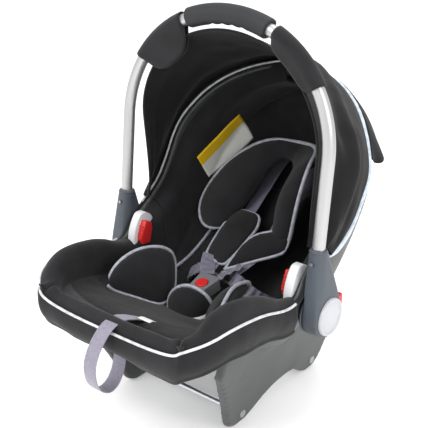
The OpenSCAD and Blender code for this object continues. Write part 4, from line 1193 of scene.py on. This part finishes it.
# The cap is turned: a shallow dish with a raised rim, as radius and height.
CAP_X = 0.220
CAP_RIM = [(0.0, 0.0042), (0.010, 0.0042), (0.020, 0.0040), (0.0255, 0.0036), (0.0270, 0.0050), (0.0290, 0.0056),
           (0.0305, 0.0044), (0.0310, 0.0020), (0.0310, -0.0005)]
cap_profile = np.concatenate([smooth(CAP_RIM, 4), [(0.031, -0.0005), (0.0, -0.0005)]])
collar_turn = np.linspace(0, 2 * np.pi, 40, endpoint=False)
cap_turn = np.linspace(0, 2 * np.pi, 64, endpoint=False)
for side, word in ((-1, "left"), (1, "right")):
    leg = from_cad("handle_leg_" + word, slate)
    melt(leg, 0.0022, 5)
    # The lock button's pocket is cut afresh, because the rounding narrows it.
    corners = [(side * POCKET[a, 0], HUB_Y + POCKET[b, 1], HUB_Z + POCKET[c, 2])
               for a in (0, 1) for b in (0, 1) for c in (0, 1)]
    pocket = put("pocket_" + word, mesh_of("pocket", corners, POCKET_FACES), slate, False)
    cut = leg.modifiers.new("pocket", "BOOLEAN")
    cut.operation = "DIFFERENCE"
    cut.solver = "EXACT"
    cut.object = pocket
    baked(leg)
    leg.data.set_sharp_from_angle(angle=math.radians(50))
    bpy.data.objects.remove(pocket)
    for height in (0.0045, 0.0105):
        ring = handle_plane(side * TUBE_HALF_W + COLLAR_R * np.cos(collar_turn), COLLAR_R * np.sin(collar_turn),
                            LEG_TOP - height)
        round_line("collar_%s_%d" % (word, height * 10000), ring, 0.0011, slate, 8, "handle",
                   True)
    rings = np.array([[(side * (CAP_X + h), HUB_Y + max(r, 1e-4) * math.cos(t), HUB_Z + max(r, 1e-4) * math.sin(t))
                       for t in cap_turn] for r, h in cap_profile])
    faces = tube_faces(*rings.shape[:2])
    cap = put("cap_" + word, mesh_of("cap_" + word, rings.reshape(-1, 3), faces), cap_white)
    cap.data.set_sharp_from_angle(angle=math.radians(50))
    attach(cap, "handle")
    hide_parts("hub_cap_" + word)

# ---- Labels ----
# A blank two-tone care label lies on the back cover.
# A small white fold-over tag lies in front of the pull strap's slot.
LABEL = np.array([(10.05, -83), (12.7, -71), (10.0, -66), (11.85, -42)])
LABEL_ROWS, LABEL_COLS = 24, 14
LABEL_D = 0.034
label_mat = shader("label_print", (0.8, 0.8, 0.78), 0.5)
uv = node(label_mat, "ShaderNodeUVMap", uv_map="UVMap")
split = node(label_mat, "ShaderNodeSeparateXYZ")
link(label_mat, uv.outputs["UV"], split.inputs["Vector"])
tint(label_mat, split.outputs["X"], ((0.95, 0.60, 0.01), (0.85, 0.85, 0.80)), (0.36, 0.361))
i, j = np.meshgrid(np.linspace(0, 1, LABEL_ROWS), np.linspace(0, 1, LABEL_COLS), indexing="ij")
i, j = i[..., None], j[..., None]
corner = (LABEL[0] * (1 - i) + LABEL[1] * i) * (1 - j) + (LABEL[2] * (1 - i) + LABEL[3] * i) * j
tree = BVHTree.FromObject(back_cover, bpy.context.evaluated_depsgraph_get())
base = at(corner[..., 0], corner[..., 1], 0.0)
lid = at(corner[..., 0], corner[..., 1], 0.060)
face = np.zeros(base.shape)
for key in np.ndindex(base.shape[:2]):
    way = Vector(base[key]) - Vector(lid[key])
    hit = tree.ray_cast(Vector(lid[key]), way.normalized())[0]
    face[key] = hit if hit else at(corner[key][0], corner[key][1], LABEL_D)
outward = unit(lid - base)
label = slab("label", face + outward * 0.0004, face + outward * 0.0012, label_mat)
layer = label.data.uv_layers.new(name="UVMap")
cells = i.size
for loop in label.data.loops:
    row, col = divmod(loop.vertex_index % cells, LABEL_COLS)
    layer.data[loop.index].uv = (col / (LABEL_COLS - 1), row / (LABEL_ROWS - 1))
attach(label, "seat")
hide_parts("care_label")

tag_white = shader("tag_white", (0.75, 0.75, 0.73), 0.6)
x, y = np.meshgrid(np.linspace(-0.012, 0.012, 9), np.linspace(-0.008, 0.008, 9), indexing="ij")
bend = 0.0016 * np.sin((y / 0.016 + 0.5) * np.pi)
centre = here([(32, -210, 216)])[0]
tag_face = np.stack([centre[0] + x, centre[1] + y * 0.93, centre[2] + y * -0.34 + bend], axis=-1)
tag = slab("tag", tag_face, tag_face + (0, 0, 0.0008), tag_white)
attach(tag, "seat")
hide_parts("pull_tag")

size = {"cad": [[round(float(v), 4) for v in corner] for corner in cad_box],
        "model": [[round(float(v), 4) for v in corner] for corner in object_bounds()]}
